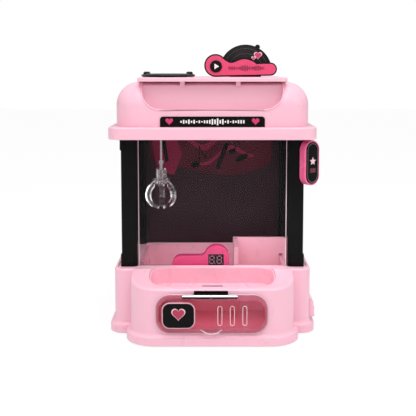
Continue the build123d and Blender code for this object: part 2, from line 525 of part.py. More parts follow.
# ---------------------------------------------------------------- front door and buttons
def build_door():
    """Clear flap with its badge, hung on a chrome barrel hinge."""
    x0, x1 = DOOR_MID_X - DOOR_HALF_X, DOOR_MID_X + DOOR_HALF_X
    front = DOOR_BACK - DOOR_THICK
    flap = upright(x0, x1, DOOR_Z0, DOOR_Z1, front, DOOR_BACK, DOOR_R)
    outer_edges = [e for e in flap.edges() if abs(e.center().Y - front) < 0.01]
    flap = fillet(outer_edges, 1.0)
    boss = upright(-64.9, -20.5, 21.9, 60.5, front - 2.4, front + 0.5, 11)
    boss = chamfer([e for e in boss.edges() if abs(e.center().Y - front + 2.4) < 0.01], 2.2)
    flap = flap + boss
    for i in range(3):
        x = 9.4 + 15.7 * i
        rim = upright(x - 3.2, x + 3.2, 27.4, 53.4, front - 0.8, front + 0.5, 3.15)
        slot = upright(x - 2.0, x + 2.0, 28.6, 52.2, front - 3, DOOR_BACK + 1, 1.95)
        flap = flap + rim - slot
    lip = Pos(-1.4, front + 0.4, 24.0) * Rot(90, 0, 0) * extrude(
        make_face([ThreePointArc((-14.4, 0), (0, -6.4), (14.4, 0)), ThreePointArc((14.4, 0), (0, -2.0), (-14.4, 0))]),
        amount=4.6)
    flap = flap + lip
    # Clearance for the hinge knuckles in the flap's top edge.
    flap = flap - block(HINGE_X - 36, HINGE_X + 36, front - 5, front + 1.0, HINGE_Z - 3.4, DOOR_Z1 + 1)
    nodes = {"prize_door": flap}
    nodes["door_badge"] = upright(-62.1, -23.3, 25.9, 56.5, front - 3.6, front - 2.42, 8.6)

    knuckles = [(HINGE_X - 34.6, HINGE_X - 20.6), (HINGE_X + 23.0, HINGE_X + 34.2)]
    wings = []
    for a, b in knuckles:
        tube = rod_x(HINGE_R - 0.5, a, b, HINGE_Y, HINGE_Z)
        tab = block(a, b, HINGE_Y + 0.7, front + 0.5, HINGE_Z - 1.9, HINGE_Z - 1.2)
        leaf = block(a, b, front + 0.25, front + 0.95, HINGE_Z - 3.3, HINGE_Z + 1.6)
        wings.append(tube + tab + leaf - rod_x(HINGE_PIN_R + 0.02, a - 1, b + 1, HINGE_Y, HINGE_Z))
    nodes["door_knuckles"] = group([*wings, rod_x(HINGE_PIN_R, HINGE_X - 35, HINGE_X + 34.6, HINGE_Y, HINGE_Z)])

    fixed = [(HINGE_X - 20.2, HINGE_X + 0.6), (HINGE_X + 1.8, HINGE_X + 22.6)]
    leaf = block(HINGE_X - 20.2, HINGE_X + 22.6, CON_FRONT - 1.2, CON_FRONT - 0.02, HINGE_Z + 3.2, HINGE_Z + 6.2)
    leaf = leaf + block(HINGE_X - 20.2, HINGE_X + 22.6, HINGE_Y - 0.6, CON_FRONT - 0.02, HINGE_Z + 3.2, HINGE_Z + 4.2)
    for a, b in fixed:
        neck = block(a, b, HINGE_Y - 0.6, HINGE_Y + 0.6, HINGE_Z + 1.5, HINGE_Z + 4.2)
        leaf = leaf + rod_x(HINGE_R, a, b, HINGE_Y, HINGE_Z) + neck
    leaf = leaf - rod_x(HINGE_PIN_R + RUN, HINGE_X - 40, HINGE_X + 40, HINGE_Y, HINGE_Z)
    nodes["door_hinge"] = leaf
    return nodes


def star_place():
    """Turns a shape modelled with its front at Y = 0, facing -Y, to the star button's place."""
    return Pos(STAR_X, STAR_Y, STAR_Z) * Rot(0, 0, STAR_TURN)


def build_star_button():
    bezel = upright(-STAR_W / 2, STAR_W / 2, -STAR_H / 2, STAR_H / 2, 0, STAR_DEPTH, STAR_W / 2 - 0.01)
    bezel = fillet([e for e in bezel.edges() if abs(e.center().Y) < 0.01], 1.4)
    well = upright(-STAR_W / 2 + 2.2, STAR_W / 2 - 2.2, -STAR_H / 2 + 2.2, STAR_H / 2 - 2.2, -5, 7.5, STAR_W / 2 - 2.21)
    cap_grow = 2.2 + GAP
    cap = upright(-STAR_W / 2 + cap_grow, STAR_W / 2 - cap_grow, -STAR_H / 2 + cap_grow, STAR_H / 2 - cap_grow,
                  -0.8, 4.6, STAR_W / 2 - cap_grow - 0.01)
    cap = fillet([e for e in cap.edges() if abs(e.center().Y + 0.8) < 0.01], 0.7)

    arm = Polyline((POST_IN + POST + 0.1, -46.0), (POST_IN + POST + 0.1, -36.0), (132.0, -40.0), (131.0, -46.2),
                   close=True)
    bracket = extrude(Pos(0, 0, STAR_Z - 16) * make_face(arm), amount=32)
    behind = star_place() * block(-40, 40, -60, STAR_DEPTH + 0.05, -80, 80)
    return {"star_bezel": group([star_place() * (bezel - well), bracket - behind]), "star_cap": star_place() * cap}


def build_switch_pod():
    """Raised pod on the right of the base with the power slider and the charging socket."""
    x0, y0, y1 = BODY_HALF_X + 0.05, -58.0, -8.0
    side = Polyline((x0, PLINTH_Z + 7), (x0 + 7.4, PLINTH_Z + 7), (x0 + 5.4, 38), (x0, 43), close=True)
    pod = Pos(0, y1, 0) * Rot(90, 0, 0) * extrude(make_face(side), amount=y1 - y0)
    pod = fillet([e for e in pod.edges() if e.center().X > x0 + 5], 1.6)
    pod = pod - block(x0 - 1, x0 + 9, -43.5, -30.5, 20.5, 27.5)
    pod = pod - block(x0 - 1, x0 + 9, -22.8, -13.2, 20.2, 24.2)
    nodes = {"switch_pod": pod}
    slider = block(x0 + 1, x0 + 8.4, -43.2, -35.4, 21.0, 27.0)
    slider = fillet([e for e in slider.edges() if e.center().X > x0 + 8.3], 0.6)
    nodes["power_slider"] = slider
    return nodes


# ---------------------------------------------------------------- gantry
def build_rails():
    nodes = {}
    y0, y1 = RAIL_FRONT, RAIL_BACK
    nodes["side_rails"] = group([rod_y(RAIL_R, y0, y1, sx * RAIL_X, RAIL_Z) for sx in (-1, 1)])
    brackets = []
    for sx in (-1, 1):
        for ya, yb in ((y0 - 1.0, y0 + 5.0), (y1 - 5.0, y1 + 1.0)):
            lug = slab(sx * RAIL_X - 6, sx * RAIL_X + 6, ya, yb, FRAME_Z1 + 0.02, RAIL_Z + 4.4, 1)
            brackets.append(lug - rod_y(RAIL_R + 0.02, y0 - 5, y1 + 5, sx * RAIL_X, RAIL_Z))

    teeth = 42
    pitch = math.pi * MODULE
    z_pitch = FRAME_Z1 + 7.0
    start = math.floor((CLAW_Y + 24) / pitch - 8) * pitch   # any tooth: the pinion is turned to suit
    outline = rack_outline(MODULE, teeth, z_pitch - 1.25 * MODULE - FRAME_Z1 - 0.05)
    rack = Pos(0, start, z_pitch) * sideways(outline, -123.2, -118.8)
    nodes["rack_and_brackets"] = group([rack, *brackets])
    return nodes, start, z_pitch


def build_bridge(rack_start, rack_z):
    """Cross bridge: two end blocks on the side rails, two beams, the cross rack and its motor."""
    yb = CLAW_Y
    nodes, ends = {}, []
    for sx in (-1, 1):
        x0, x1 = sorted((sx * 103.0, sx * 117.0))
        end = slab(x0, x1, yb - 18, yb + 34, FRAME_Z1 + 0.7, 291, 2)
        end = end - rod_y(RAIL_R + RUN, -90, 120, sx * RAIL_X, RAIL_Z)
        for dy in (-BEAM_DY, BEAM_DY):
            end = end - rod_x(BEAM_R + 0.02, min(0, sx * 107.0), max(0, sx * 107.0), yb + dy, BEAM_Z)
        if sx < 0:
            end = end - rod_x(1.2 + RUN, -130, -90, yb + 24, rack_z + PITCH_R)
        ends.append(end)
    nodes["bridge_ends"] = group(ends)
    nodes["bridge_beams"] = group([rod_x(BEAM_R, -106.6, 106.6, yb + dy, BEAM_Z) for dy in (-BEAM_DY, BEAM_DY)])

    teeth = 75
    pitch = math.pi * MODULE
    start = CLAW_X + 10.6 - 12 * pitch
    outline = rack_outline(MODULE, teeth, 2.4)
    rack = Pos(start, yb + 28.8, 274.8) * mirror(extrude(outline, amount=4.2), Plane.XZ)
    bar = block(-102.95, 102.95, yb + 31.2, yb + 33.6, 274.8, 279.0)
    nodes["cross_rack"] = rack + bar

    # Motor that drives the bridge along the rails, and its pinion on the long rack.
    z = rack_z + PITCH_R
    nodes["bridge_motor"] = rod_x(5.9, -102.9, -89.5, yb + 24, z) & block(-110, -80, yb + 15, yb + 33, z - 5, z + 4.8)
    phase = 180.0 / PINION_TEETH - math.degrees(((yb + 24 - rack_start) % pitch) / PITCH_R)
    pinion = Rot(0, 90, 0) * involute_gear(MODULE, PINION_TEETH, 4.2, 0.4)
    pinion = Pos(-123.1, yb + 24, z) * Rot(phase, 0, 0) * pinion
    nodes["bridge_pinion"] = pinion + rod_x(1.2, -123.4, -102.95, yb + 24, z)
    return nodes, start


def build_trolley(rack_start):
    """Trolley that runs along the bridge and carries the winch."""
    yb = CLAW_Y
    x0, x1 = CLAW_X - 12.4, CLAW_X + 33.6
    motor_x, pinion_y = CLAW_X + 10.6, yb + 28.8 - PITCH_R
    pinion_x = DRUM_X + WINCH_MODULE * (WINCH_PINION + WINCH_GEAR) / 2
    frame = slab(x0, x1, yb - 19, yb + 27.6, 268.2, 270.8, 3)
    frame = frame + block(x0, x1, yb - 19, yb - 11, 270.6, 290.5) + block(x0, x1, yb + 11.6, yb + 17, 270.6, 290.5)
    frame = frame + block(motor_x - 8, motor_x + 8, yb + 16.5, yb + 27.6, 279.6, 281.6)
    frame = frame + block(pinion_x - 5, pinion_x + 5, yb - 9, yb + 4, 270.6, DRUM_Z - 5.25)
    for dy in (-BEAM_DY, BEAM_DY):
        frame = frame - rod_x(BEAM_R + RUN, x0 - 5, x1 + 5, yb + dy, BEAM_Z)
    frame = frame - rod_y(1.5 + RUN, yb - 30, yb + 30, DRUM_X, DRUM_Z)
    frame = frame - rod_z(2.8, 260, 275, CLAW_X, yb)
    frame = frame - rod_z(1.2 + RUN, 260, 290, motor_x, pinion_y)
    frame = frame - rod_y(1.2 + RUN, yb + 8, yb + 30, pinion_x, DRUM_Z)
    nodes = {"trolley_frame": frame}

    body = rod_z(6.0, 281.65, 293.0, motor_x, pinion_y)
    motor = body & block(motor_x - 5, motor_x + 5, pinion_y - 6.1, pinion_y + 6.1, 270, 300)
    pitch = math.pi * MODULE
    phase = math.degrees(((motor_x - rack_start) % pitch) / PITCH_R) - 180.0 / PINION_TEETH
    gear = Pos(motor_x, pinion_y, 275.1) * Rot(0, 0, 90 + phase) * involute_gear(MODULE, PINION_TEETH, 3.6, 0.4)
    nodes["trolley_pinion"] = gear + rod_z(1.2, 268.6, 281.6, motor_x, pinion_y)

    drum = rod_y(DRUM_R, yb - 8, yb + 7.4, DRUM_X, DRUM_Z)
    drum = drum + rod_y(9.2, yb - 9.4, yb - 8, DRUM_X, DRUM_Z) + rod_y(9.2, yb + 5.2, yb + 6.6, DRUM_X, DRUM_Z)
    gear = Pos(DRUM_X, yb + 11.2, DRUM_Z) * Rot(90, 0, 0) * involute_gear(WINCH_MODULE, WINCH_GEAR, 2.8, 1.4)
    drum = drum + rod_y(DRUM_R, yb + 6, yb + 8.6, DRUM_X, DRUM_Z) + gear
    nodes["winch_drum"] = drum + rod_y(1.5, yb - 18.5, yb + 16.5, DRUM_X, DRUM_Z)
    ring = Cylinder(DRUM_R + 2 * CORD_R, 3.0) - Cylinder(DRUM_R + 0.02, 4)
    nodes["winch_cord_wraps"] = group(
        [Pos(DRUM_X, yb - 6.3 + 3.15 * i, DRUM_Z) * Rot(90, 0, 0) * ring for i in range(4)])
    pinion = Rot(90, 0, 0) * Rot(0, 0, 180.0 / WINCH_PINION) * involute_gear(WINCH_MODULE, WINCH_PINION, 2.8, 0.4)
    pinion = Pos(pinion_x, yb + 11.2, DRUM_Z) * pinion
    nodes["winch_pinion"] = pinion + rod_y(1.2, yb + 5.1, yb + 16.5, pinion_x, DRUM_Z)
    body = rod_y(5.8, yb - 9.0, yb + 5.0, pinion_x, DRUM_Z)
    winch = body & block(-200, 200, yb - 20, yb + 20, DRUM_Z - 5.2, DRUM_Z + 5.2)
    nodes["trolley_motors"] = group([motor, winch])
    return nodes


# ---------------------------------------------------------------- claw
def finger_blank():
    """One finger in the XZ plane: an elliptical arc from the pivot lug down to the tip."""
    steps = 12
    outer, inner = [], []
    for i in range(steps + 1):
        t = math.radians(58 - 132 * i / steps)
        c, s = math.cos(t), math.sin(t)
        n = math.hypot(CLAW_B * c, CLAW_A * s)
        nx, nz = CLAW_B * c / n, CLAW_A * s / n
        half = FINGER_T / 2 * (1.0 if i < steps - 2 else 1.0 - 0.22 * (i - steps + 2))
        x, z = CLAW_A * c, CLAW_MID_Z + CLAW_B * s
        outer.append((x + nx * half, z + nz * half))
        inner.append((x - nx * half, z - nz * half))
    edges = [Spline(*outer), Line(outer[-1], inner[-1]), Spline(*reversed(inner)), Line(inner[0], outer[0])]
    arc = facing(make_face(edges), -FINGER_W / 2, FINGER_W / 2)
    lug = rod_y(2.6, -2.2, 2.2, FINGER_PIVOT_R, FINGER_PIVOT_Z)
    neck = block(FINGER_PIVOT_R - 0.4, FINGER_PIVOT_R + 5.2, -2.2, 2.2, FINGER_PIVOT_Z - 2.4, FINGER_PIVOT_Z + 0.8)
    lever = block(2.3, FINGER_PIVOT_R, -1.4, 1.4, FINGER_PIVOT_Z - 1.0, FINGER_PIVOT_Z + 1.0)
    keep_out = rod_z(FINGER_PIVOT_R + 3.4, 188, 202, 0, 0)
    whole = (arc - keep_out) + lug + neck + lever
    return whole - rod_y(1.0 + RUN, -9, 9, FINGER_PIVOT_R, FINGER_PIVOT_Z)


def around(shape, angle):
    """A part modelled on the claw's axis along +X, turned to its place on the parked claw."""
    return Pos(CLAW_X, CLAW_Y, 0) * Rot(0, 0, angle) * shape


def build_claw():
    blank = finger_blank()
    nodes = {f"claw_finger_{i}": around(blank, angle) for i, angle in enumerate(FINGER_ANGLES, 1)}
    pins = [around(rod_y(1.0, -4.7, 4.7, FINGER_PIVOT_R, FINGER_PIVOT_Z), angle) for angle in FINGER_ANGLES]

    tube = rod_z(HUB_R, HUB_Z0, HUB_Z1, 0, 0) - rod_z(HUB_R - 1.6, HUB_Z0 - 1, HUB_Z1 - 2.0, 0, 0)
    cheeks = []
    for angle in FINGER_ANGLES:
        for sy in (-1, 1):
            cheek = block(4.6, FINGER_PIVOT_R + 2.2, sy * 2.5, sy * 4.6, FINGER_PIVOT_Z - 2.4, HUB_Z0 + 1.2)
            cheek = cheek - rod_y(1.0 + 0.01, -9, 9, FINGER_PIVOT_R, FINGER_PIVOT_Z)
            cheeks.append(Rot(0, 0, angle) * cheek)
    collar = rod_z(HUB_R + 3.0, HUB_Z0 - 0.2, HUB_Z0 + 1.6, 0, 0) - rod_z(HUB_R - 1.6, 180, 230, 0, 0)
    hub = fuse([tube, collar, *cheeks])
    hub = hub - rod_z(2.0, HUB_Z1 - 3, HUB_Z1 + 1, 0, 0)
    nodes["claw_hub"] = around(hub, 0)
    ferrule = around(rod_z(1.98, HUB_Z1 - 1.95, 219.5, 0, 0) + rod_z(3.1, 219.5, 223.8, 0, 0), 0)
    nodes["claw_pins"] = group([*pins, ferrule])
    plunger = rod_z(1.9, 189.0, 210.0, 0, 0) + rod_z(4.5, 196.6, 198.0, 0, 0) + rod_z(4.5, 188.6, 190.8, 0, 0)
    nodes["claw_plunger"] = around(plunger + rod_z(4.7, 203.6, 206.0, 0, 0), 0)
    nodes["hoist_cord"] = around(rod_z(CORD_R, 223.85, 279.4, 0, 0), 0)
    return nodes


# ---------------------------------------------------------------- write every node
def main():
    os.makedirs("parts", exist_ok=True)
    rails, long_start, long_z = build_rails()
    bridge, cross_start = build_bridge(long_start, long_z)
    nodes = {**build_base(), **build_pit(), **build_console(), **build_display(), **build_cabinet(), **build_roof(),
             **build_lid(), **build_sign(), **build_door(), **build_star_button(), **build_switch_pod(), **rails,
             **bridge, **build_trolley(cross_start), **build_claw()}
    for name, shape in nodes.items():
        export_step(shape, f"parts/{name}.step")
    print(len(nodes), "nodes")


main()
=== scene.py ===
# A toy claw crane machine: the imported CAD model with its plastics, glass and metals,
# and the printed, moulded and twisted details that sit on it.
import math

import bpy
import numpy as np
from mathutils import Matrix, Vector


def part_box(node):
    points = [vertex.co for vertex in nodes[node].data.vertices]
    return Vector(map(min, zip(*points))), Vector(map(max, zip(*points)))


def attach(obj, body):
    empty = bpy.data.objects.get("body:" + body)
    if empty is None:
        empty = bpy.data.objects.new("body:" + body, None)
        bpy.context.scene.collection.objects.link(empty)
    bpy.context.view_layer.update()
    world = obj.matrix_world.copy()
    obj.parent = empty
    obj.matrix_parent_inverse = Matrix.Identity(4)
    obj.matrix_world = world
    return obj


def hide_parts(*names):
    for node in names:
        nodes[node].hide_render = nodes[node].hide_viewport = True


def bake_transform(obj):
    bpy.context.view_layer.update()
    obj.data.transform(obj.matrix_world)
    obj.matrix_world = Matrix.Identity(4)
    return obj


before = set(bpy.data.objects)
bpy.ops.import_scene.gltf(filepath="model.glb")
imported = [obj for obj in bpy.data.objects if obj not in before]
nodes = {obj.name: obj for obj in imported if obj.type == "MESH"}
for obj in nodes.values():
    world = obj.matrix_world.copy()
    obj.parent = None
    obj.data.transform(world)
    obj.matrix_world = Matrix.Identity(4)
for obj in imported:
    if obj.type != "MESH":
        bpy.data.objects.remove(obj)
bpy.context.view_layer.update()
print("frame loaded:", len(nodes), "CAD nodes")


# Shapes worked out with numpy
def boxOf(node):
    # lowest and highest corner of a CAD node as numpy arrays
    low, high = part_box(node)
    return np.array(low), np.array(high)


def flatPlace(centre, turn=0.0):
    # a plane that stands up and faces the front, turned about Z: u runs right, v runs up, w comes forward
    c, s = math.cos(turn), math.sin(turn)
    return np.array(centre), np.array([c, s, 0.0]), np.array([0.0, 0.0, 1.0]), np.array([s, -c, 0.0])


def heartOutline(width, count=64):
    # x = sin(t)^3 and y = 13 cos t - 5 cos 2t - 2 cos 3t - cos 4t, scaled to the width
    t = np.linspace(0, 2 * np.pi, count, endpoint=False)
    x = 16 * np.sin(t) ** 3
    y = 13 * np.cos(t) - 5 * np.cos(2 * t) - 2 * np.cos(3 * t) - np.cos(4 * t) + 2.5
    return np.stack([x, y], 1)[::-1] * width / 32


def roundedOutline(width, height, radius, perCorner=10):
    # four quarter circles round the corners of a rectangle
    a = np.linspace(0, np.pi / 2, perCorner)
    arc = np.stack([np.cos(a), np.sin(a)], 1) * radius
    turnBy = np.array([[0, 1], [-1, 0]])
    inset = np.array([width / 2 - radius, height / 2 - radius])
    corners = np.array([[1, 1], [-1, 1], [-1, -1], [1, -1]]) * inset
    parts, turned = [], arc
    for corner in corners:
        parts.append(turned + corner)
        turned = turned @ turnBy
    return np.concatenate(parts)


def starOutline(radius, inner=0.46, points=5):
    # radius switches between outer and inner every half step
    t = np.pi / 2 + np.arange(2 * points) * np.pi / points
    r = np.where(np.arange(2 * points) % 2 == 0, radius, radius * inner)
    return np.stack([r * np.cos(t), r * np.sin(t)], 1)


def ellipseOutline(rx, ry, count=40, lean=0.0):
    # x = rx cos t, y = ry sin t, then turned by lean
    t = np.linspace(0, 2 * np.pi, count, endpoint=False)
    x, y = rx * np.cos(t), ry * np.sin(t)
    return np.stack([x * np.cos(lean) - y * np.sin(lean), x * np.sin(lean) + y * np.cos(lean)], 1)


def addMesh(name, points, faces, material, body, slot, smooth=True):
    # a mesh object at the origin that moves with a body
    mesh = bpy.data.meshes.new(name)
    mesh.from_pydata(points.tolist(), [], [list(f) for f in faces])
    mesh.polygons.foreach_set("use_smooth", np.full(len(mesh.polygons), smooth))
    mesh.update()
    piece = bpy.data.objects.new(name, mesh)
    bpy.context.scene.collection.objects.link(piece)
    piece.data.materials.append(material)
    if body:
        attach(piece, body)
    return piece


def addPlates(name, outlines, place, depth, material, body, slot, back=-0.0002):
    # thin printed or moulded shapes that stand proud of the surface behind them: each outline becomes
    # a plate with its front ring at w = depth, its back ring at w = back, two caps and side walls
    origin, u, v, w = place
    points, faces, start = [], [], 0
    for outline in outlines:
        n = len(outline)
        flat = origin + outline[:, :1] * u + outline[:, 1:2] * v
        points += [flat + depth * w, flat + back * w]
        ring = np.arange(n)
        nxt = np.roll(ring, -1)
        sides = np.stack([ring + n, nxt + n, nxt, ring], 1) + start
        faces += [(ring + start).tolist(), (ring[::-1] + n + start).tolist()] + sides.tolist()
        start += 2 * n
    return addMesh(name, np.concatenate(points), faces, material, body, slot, smooth=False)


def sweepMesh(path, radii, sides, closed=False):
    # a circle carried along a path: P(s, a) = path(s) + r(s) (cos a * normal + sin a * binormal)
    path = np.asarray(path, float)
    radii = np.broadcast_to(np.asarray(radii, float), len(path))
    ahead = np.roll(path, -1, 0) - np.roll(path, 1, 0)
    if not closed:
        ahead[0], ahead[-1] = path[1] - path[0], path[-1] - path[-2]
    tangent = ahead / np.linalg.norm(ahead, axis=1, keepdims=True)
    reference = np.eye(3)[np.argmin(np.abs(tangent).mean(0))]
    normal = np.cross(tangent, reference)
    normal /= np.linalg.norm(normal, axis=1, keepdims=True)
    binormal = np.cross(tangent, normal)
    a = np.linspace(0, 2 * np.pi, sides, endpoint=False)
    ring = np.cos(a)[None, :, None] * normal[:, None] + np.sin(a)[None, :, None] * binormal[:, None]
    grid = path[:, None] + radii[:, None, None] * ring
    rows = len(path)
    i = np.arange(rows if closed else rows - 1)[:, None]
    j = np.arange(sides)[None, :]
    i2, j2 = (i + 1) % rows, (j + 1) % sides
    quads = np.stack([i * sides + j, i2 * sides + j, i2 * sides + j2, i * sides + j2], -1)
    faces = quads.reshape(-1, 4)[:, ::-1].tolist()
    if not closed:
        faces += [np.arange(sides).tolist(), (np.arange(sides)[::-1] + (rows - 1) * sides).tolist()]
    return grid.reshape(-1, 3), faces


def joinMeshes(parts):
    # several point and face lists as one
    points, faces, start = [], [], 0
    for p, f in parts:
        points.append(p)
        faces += [[k + start for k in face] for face in f]
        start += len(p)
    return np.concatenate(points), faces


# Surfaces
def newMaterial(name):
    material = bpy.data.materials.new(name)
    material.use_nodes = True
    tree = material.node_tree
    tree.nodes.clear()
    return material, tree.nodes, tree.links


def layOut(tree, frames):
    # groups the nodes of each effect in a labelled frame and spreads them in columns
    for row, (label, members) in enumerate(frames.items()):
        group = tree.nodes.new("NodeFrame")
        group.label = label
        for column, node in enumerate(members):
            node.location = (240 * column, -320 * row)
            node.parent = group


def mouldedPlastic(name, colour, shade, roughness, grain=0.012, coat=0.25, edge=0.0005, shine=0.5):
    # colour drifts between two shades in soft clouds, gloss drifts with it, and a fine orange peel
    # and rounded edges catch the light
    material, nodesOf, links = newMaterial(name)
    output = nodesOf.new("ShaderNodeOutputMaterial")
    output.label = "Surface out"
    body = nodesOf.new("ShaderNodeBsdfPrincipled")
    body.label = "Moulded plastic"
    place = nodesOf.new("ShaderNodeTexCoord")
    place.label = "Place on the piece"
    cloud = nodesOf.new("ShaderNodeTexNoise")
    cloud.label = "Colour drift of the moulding"
    blend = nodesOf.new("ShaderNodeMix")
    blend.label = "Between the two shades"
    flow = nodesOf.new("ShaderNodeTexNoise")
    flow.label = "Handling marks"
    polish = nodesOf.new("ShaderNodeMapRange")
    polish.label = "Gloss drift"
    peel = nodesOf.new("ShaderNodeTexNoise")
    peel.label = "Orange peel"
    bump = nodesOf.new("ShaderNodeBump")
    bump.label = "Peel height"
    soften = nodesOf.new("ShaderNodeBevel")
    soften.label = "Softened mould edges"
    cloud.inputs["Scale"].default_value = 14
    cloud.inputs["Detail"].default_value = 3
    flow.inputs["Scale"].default_value = 60
    flow.inputs["Detail"].default_value = 5
    peel.inputs["Scale"].default_value = 900
    peel.inputs["Detail"].default_value = 2
    blend.data_type = "RGBA"
    blend.inputs["A"].default_value = (*colour, 1)
    blend.inputs["B"].default_value = (*shade, 1)
    polish.inputs["From Min"].default_value = 0.3
    polish.inputs["From Max"].default_value = 0.7
    polish.inputs["To Min"].default_value = roughness * 0.9
    polish.inputs["To Max"].default_value = roughness * 1.15
    bump.inputs["Strength"].default_value = grain
    bump.inputs["Distance"].default_value = 0.0003
    soften.inputs["Radius"].default_value = edge
    soften.samples = 4
    body.inputs["Coat Weight"].default_value = coat
    body.inputs["Coat Roughness"].default_value = 0.12
    body.inputs["Specular IOR Level"].default_value = shine
    links.new(place.outputs["Object"], cloud.inputs["Vector"])
    links.new(place.outputs["Object"], flow.inputs["Vector"])
    links.new(place.outputs["Object"], peel.inputs["Vector"])
    links.new(cloud.outputs["Fac"], blend.inputs["Factor"])
    links.new(blend.outputs["Result"], body.inputs["Base Color"])
    links.new(flow.outputs["Fac"], polish.inputs["Value"])
    links.new(polish.outputs["Result"], body.inputs["Roughness"])
    links.new(peel.outputs["Fac"], bump.inputs["Height"])
    links.new(soften.outputs["Normal"], bump.inputs["Normal"])
    links.new(bump.outputs["Normal"], body.inputs["Normal"])
    links.new(body.outputs["BSDF"], output.inputs["Surface"])
    layOut(material.node_tree, {"Colour": [place, cloud, blend], "Gloss": [flow, polish],
                                "Relief": [peel, soften, bump], "Surface": [body, output]})
    return material


def clearSheet(name, tint, roughness, ior=1.3, haze=0.01):
    # thin see-through sheet: what lies behind shows through the tint, and grazing light is mirrored
    # by the Fresnel curve, with faint wiping streaks
    material, nodesOf, links = newMaterial(name)
    output = nodesOf.new("ShaderNodeOutputMaterial")
    output.label = "Surface out"
    through = nodesOf.new("ShaderNodeBsdfTransparent")
    through.label = "Seen through"
    shine = nodesOf.new("ShaderNodeBsdfAnisotropic")
    shine.label = "Mirror on the sheet"
    mix = nodesOf.new("ShaderNodeMixShader")
    mix.label = "Mirror over the view"
    fresnel = nodesOf.new("ShaderNodeFresnel")
    fresnel.label = "More mirror at a glance"
    place = nodesOf.new("ShaderNodeTexCoord")
    place.label = "Place on the piece"
    streak = nodesOf.new("ShaderNodeTexNoise")
    streak.label = "Wiping streaks"
    level = nodesOf.new("ShaderNodeMapRange")
    level.label = "Streak strength"
    total = nodesOf.new("ShaderNodeMath")
    total.label = "Mirror and streaks"
    smear = nodesOf.new("ShaderNodeTexNoise")
    smear.label = "Finger smears"
    matt = nodesOf.new("ShaderNodeMapRange")
    matt.label = "Gloss where smeared"
    through.inputs["Color"].default_value = (*tint, 1)
    shine.inputs["Color"].default_value = (0.92, 0.92, 0.94, 1)
    fresnel.inputs["IOR"].default_value = ior
    streak.inputs["Scale"].default_value = 22
    streak.inputs["Detail"].default_value = 4
    smear.inputs["Scale"].default_value = 45
    level.inputs["From Min"].default_value = 0.45
    level.inputs["From Max"].default_value = 0.8
    level.inputs["To Min"].default_value = haze * 0.3
    level.inputs["To Max"].default_value = haze * 2
    matt.inputs["To Min"].default_value = roughness * 0.5
    matt.inputs["To Max"].default_value = roughness * 1.5
    total.operation = "ADD"
    links.new(place.outputs["Object"], streak.inputs["Vector"])
    links.new(place.outputs["Object"], smear.inputs["Vector"])
    links.new(streak.outputs["Fac"], level.inputs["Value"])
    links.new(smear.outputs["Fac"], matt.inputs["Value"])
    links.new(matt.outputs["Result"], shine.inputs["Roughness"])
    links.new(fresnel.outputs["Fac"], total.inputs[0])
    links.new(level.outputs["Result"], total.inputs[1])
    links.new(total.outputs["Value"], mix.inputs["Fac"])
    links.new(through.outputs["BSDF"], mix.inputs[1])
    links.new(shine.outputs["BSDF"], mix.inputs[2])
    links.new(mix.outputs["Shader"], output.inputs["Surface"])
    layOut(material.node_tree, {"Streaks": [place, streak, level, fresnel, total], "Gloss": [smear, matt],
                                "Surface": [through, shine, mix, output]})
    return material


def castClear(name, tint, roughness, shade):
    # thick clear moulding that bends light; lamps shine through it, so that it casts only a faint shadow,
    # and flow lines of the moulding ripple its face
    material, nodesOf, links = newMaterial(name)
    output = nodesOf.new("ShaderNodeOutputMaterial")
    output.label = "Surface out"
    body = nodesOf.new("ShaderNodeBsdfPrincipled")
    body.label = "Clear moulding"
    lamp = nodesOf.new("ShaderNodeBsdfTransparent")
    lamp.label = "Lamp light let through"
    ray = nodesOf.new("ShaderNodeLightPath")
    ray.label = "Shadow rays"
    mix = nodesOf.new("ShaderNodeMixShader")
    mix.label = "Moulding, or let through"
    place = nodesOf.new("ShaderNodeTexCoord")
    place.label = "Place on the piece"
    flow = nodesOf.new("ShaderNodeTexNoise")
    flow.label = "Flow lines"
    bump = nodesOf.new("ShaderNodeBump")
    bump.label = "Ripple of the flow"
    matt = nodesOf.new("ShaderNodeMapRange")
    matt.label = "Gloss drift"
    body.inputs["Base Color"].default_value = (*tint, 1)
    body.inputs["Transmission Weight"].default_value = 1
    body.inputs["IOR"].default_value = 1.49
    lamp.inputs["Color"].default_value = (*shade, 1)
    flow.inputs["Scale"].default_value = 120
    flow.inputs["Detail"].default_value = 2
    matt.inputs["To Min"].default_value = roughness * 0.5
    matt.inputs["To Max"].default_value = roughness * 1.5
    bump.inputs["Strength"].default_value = 0.12
    bump.inputs["Distance"].default_value = 0.0004
    links.new(place.outputs["Object"], flow.inputs["Vector"])
    links.new(flow.outputs["Fac"], bump.inputs["Height"])
    links.new(flow.outputs["Fac"], matt.inputs["Value"])
    links.new(matt.outputs["Result"], body.inputs["Roughness"])
    links.new(bump.outputs["Normal"], body.inputs["Normal"])
    links.new(ray.outputs["Is Shadow Ray"], mix.inputs["Fac"])
    links.new(body.outputs["BSDF"], mix.inputs[1])
    links.new(lamp.outputs["BSDF"], mix.inputs[2])
    links.new(mix.outputs["Shader"], output.inputs["Surface"])
    layOut(material.node_tree, {"Flow": [place, flow, bump, matt], "Surface": [ray, body, lamp, mix, output]})
    return material


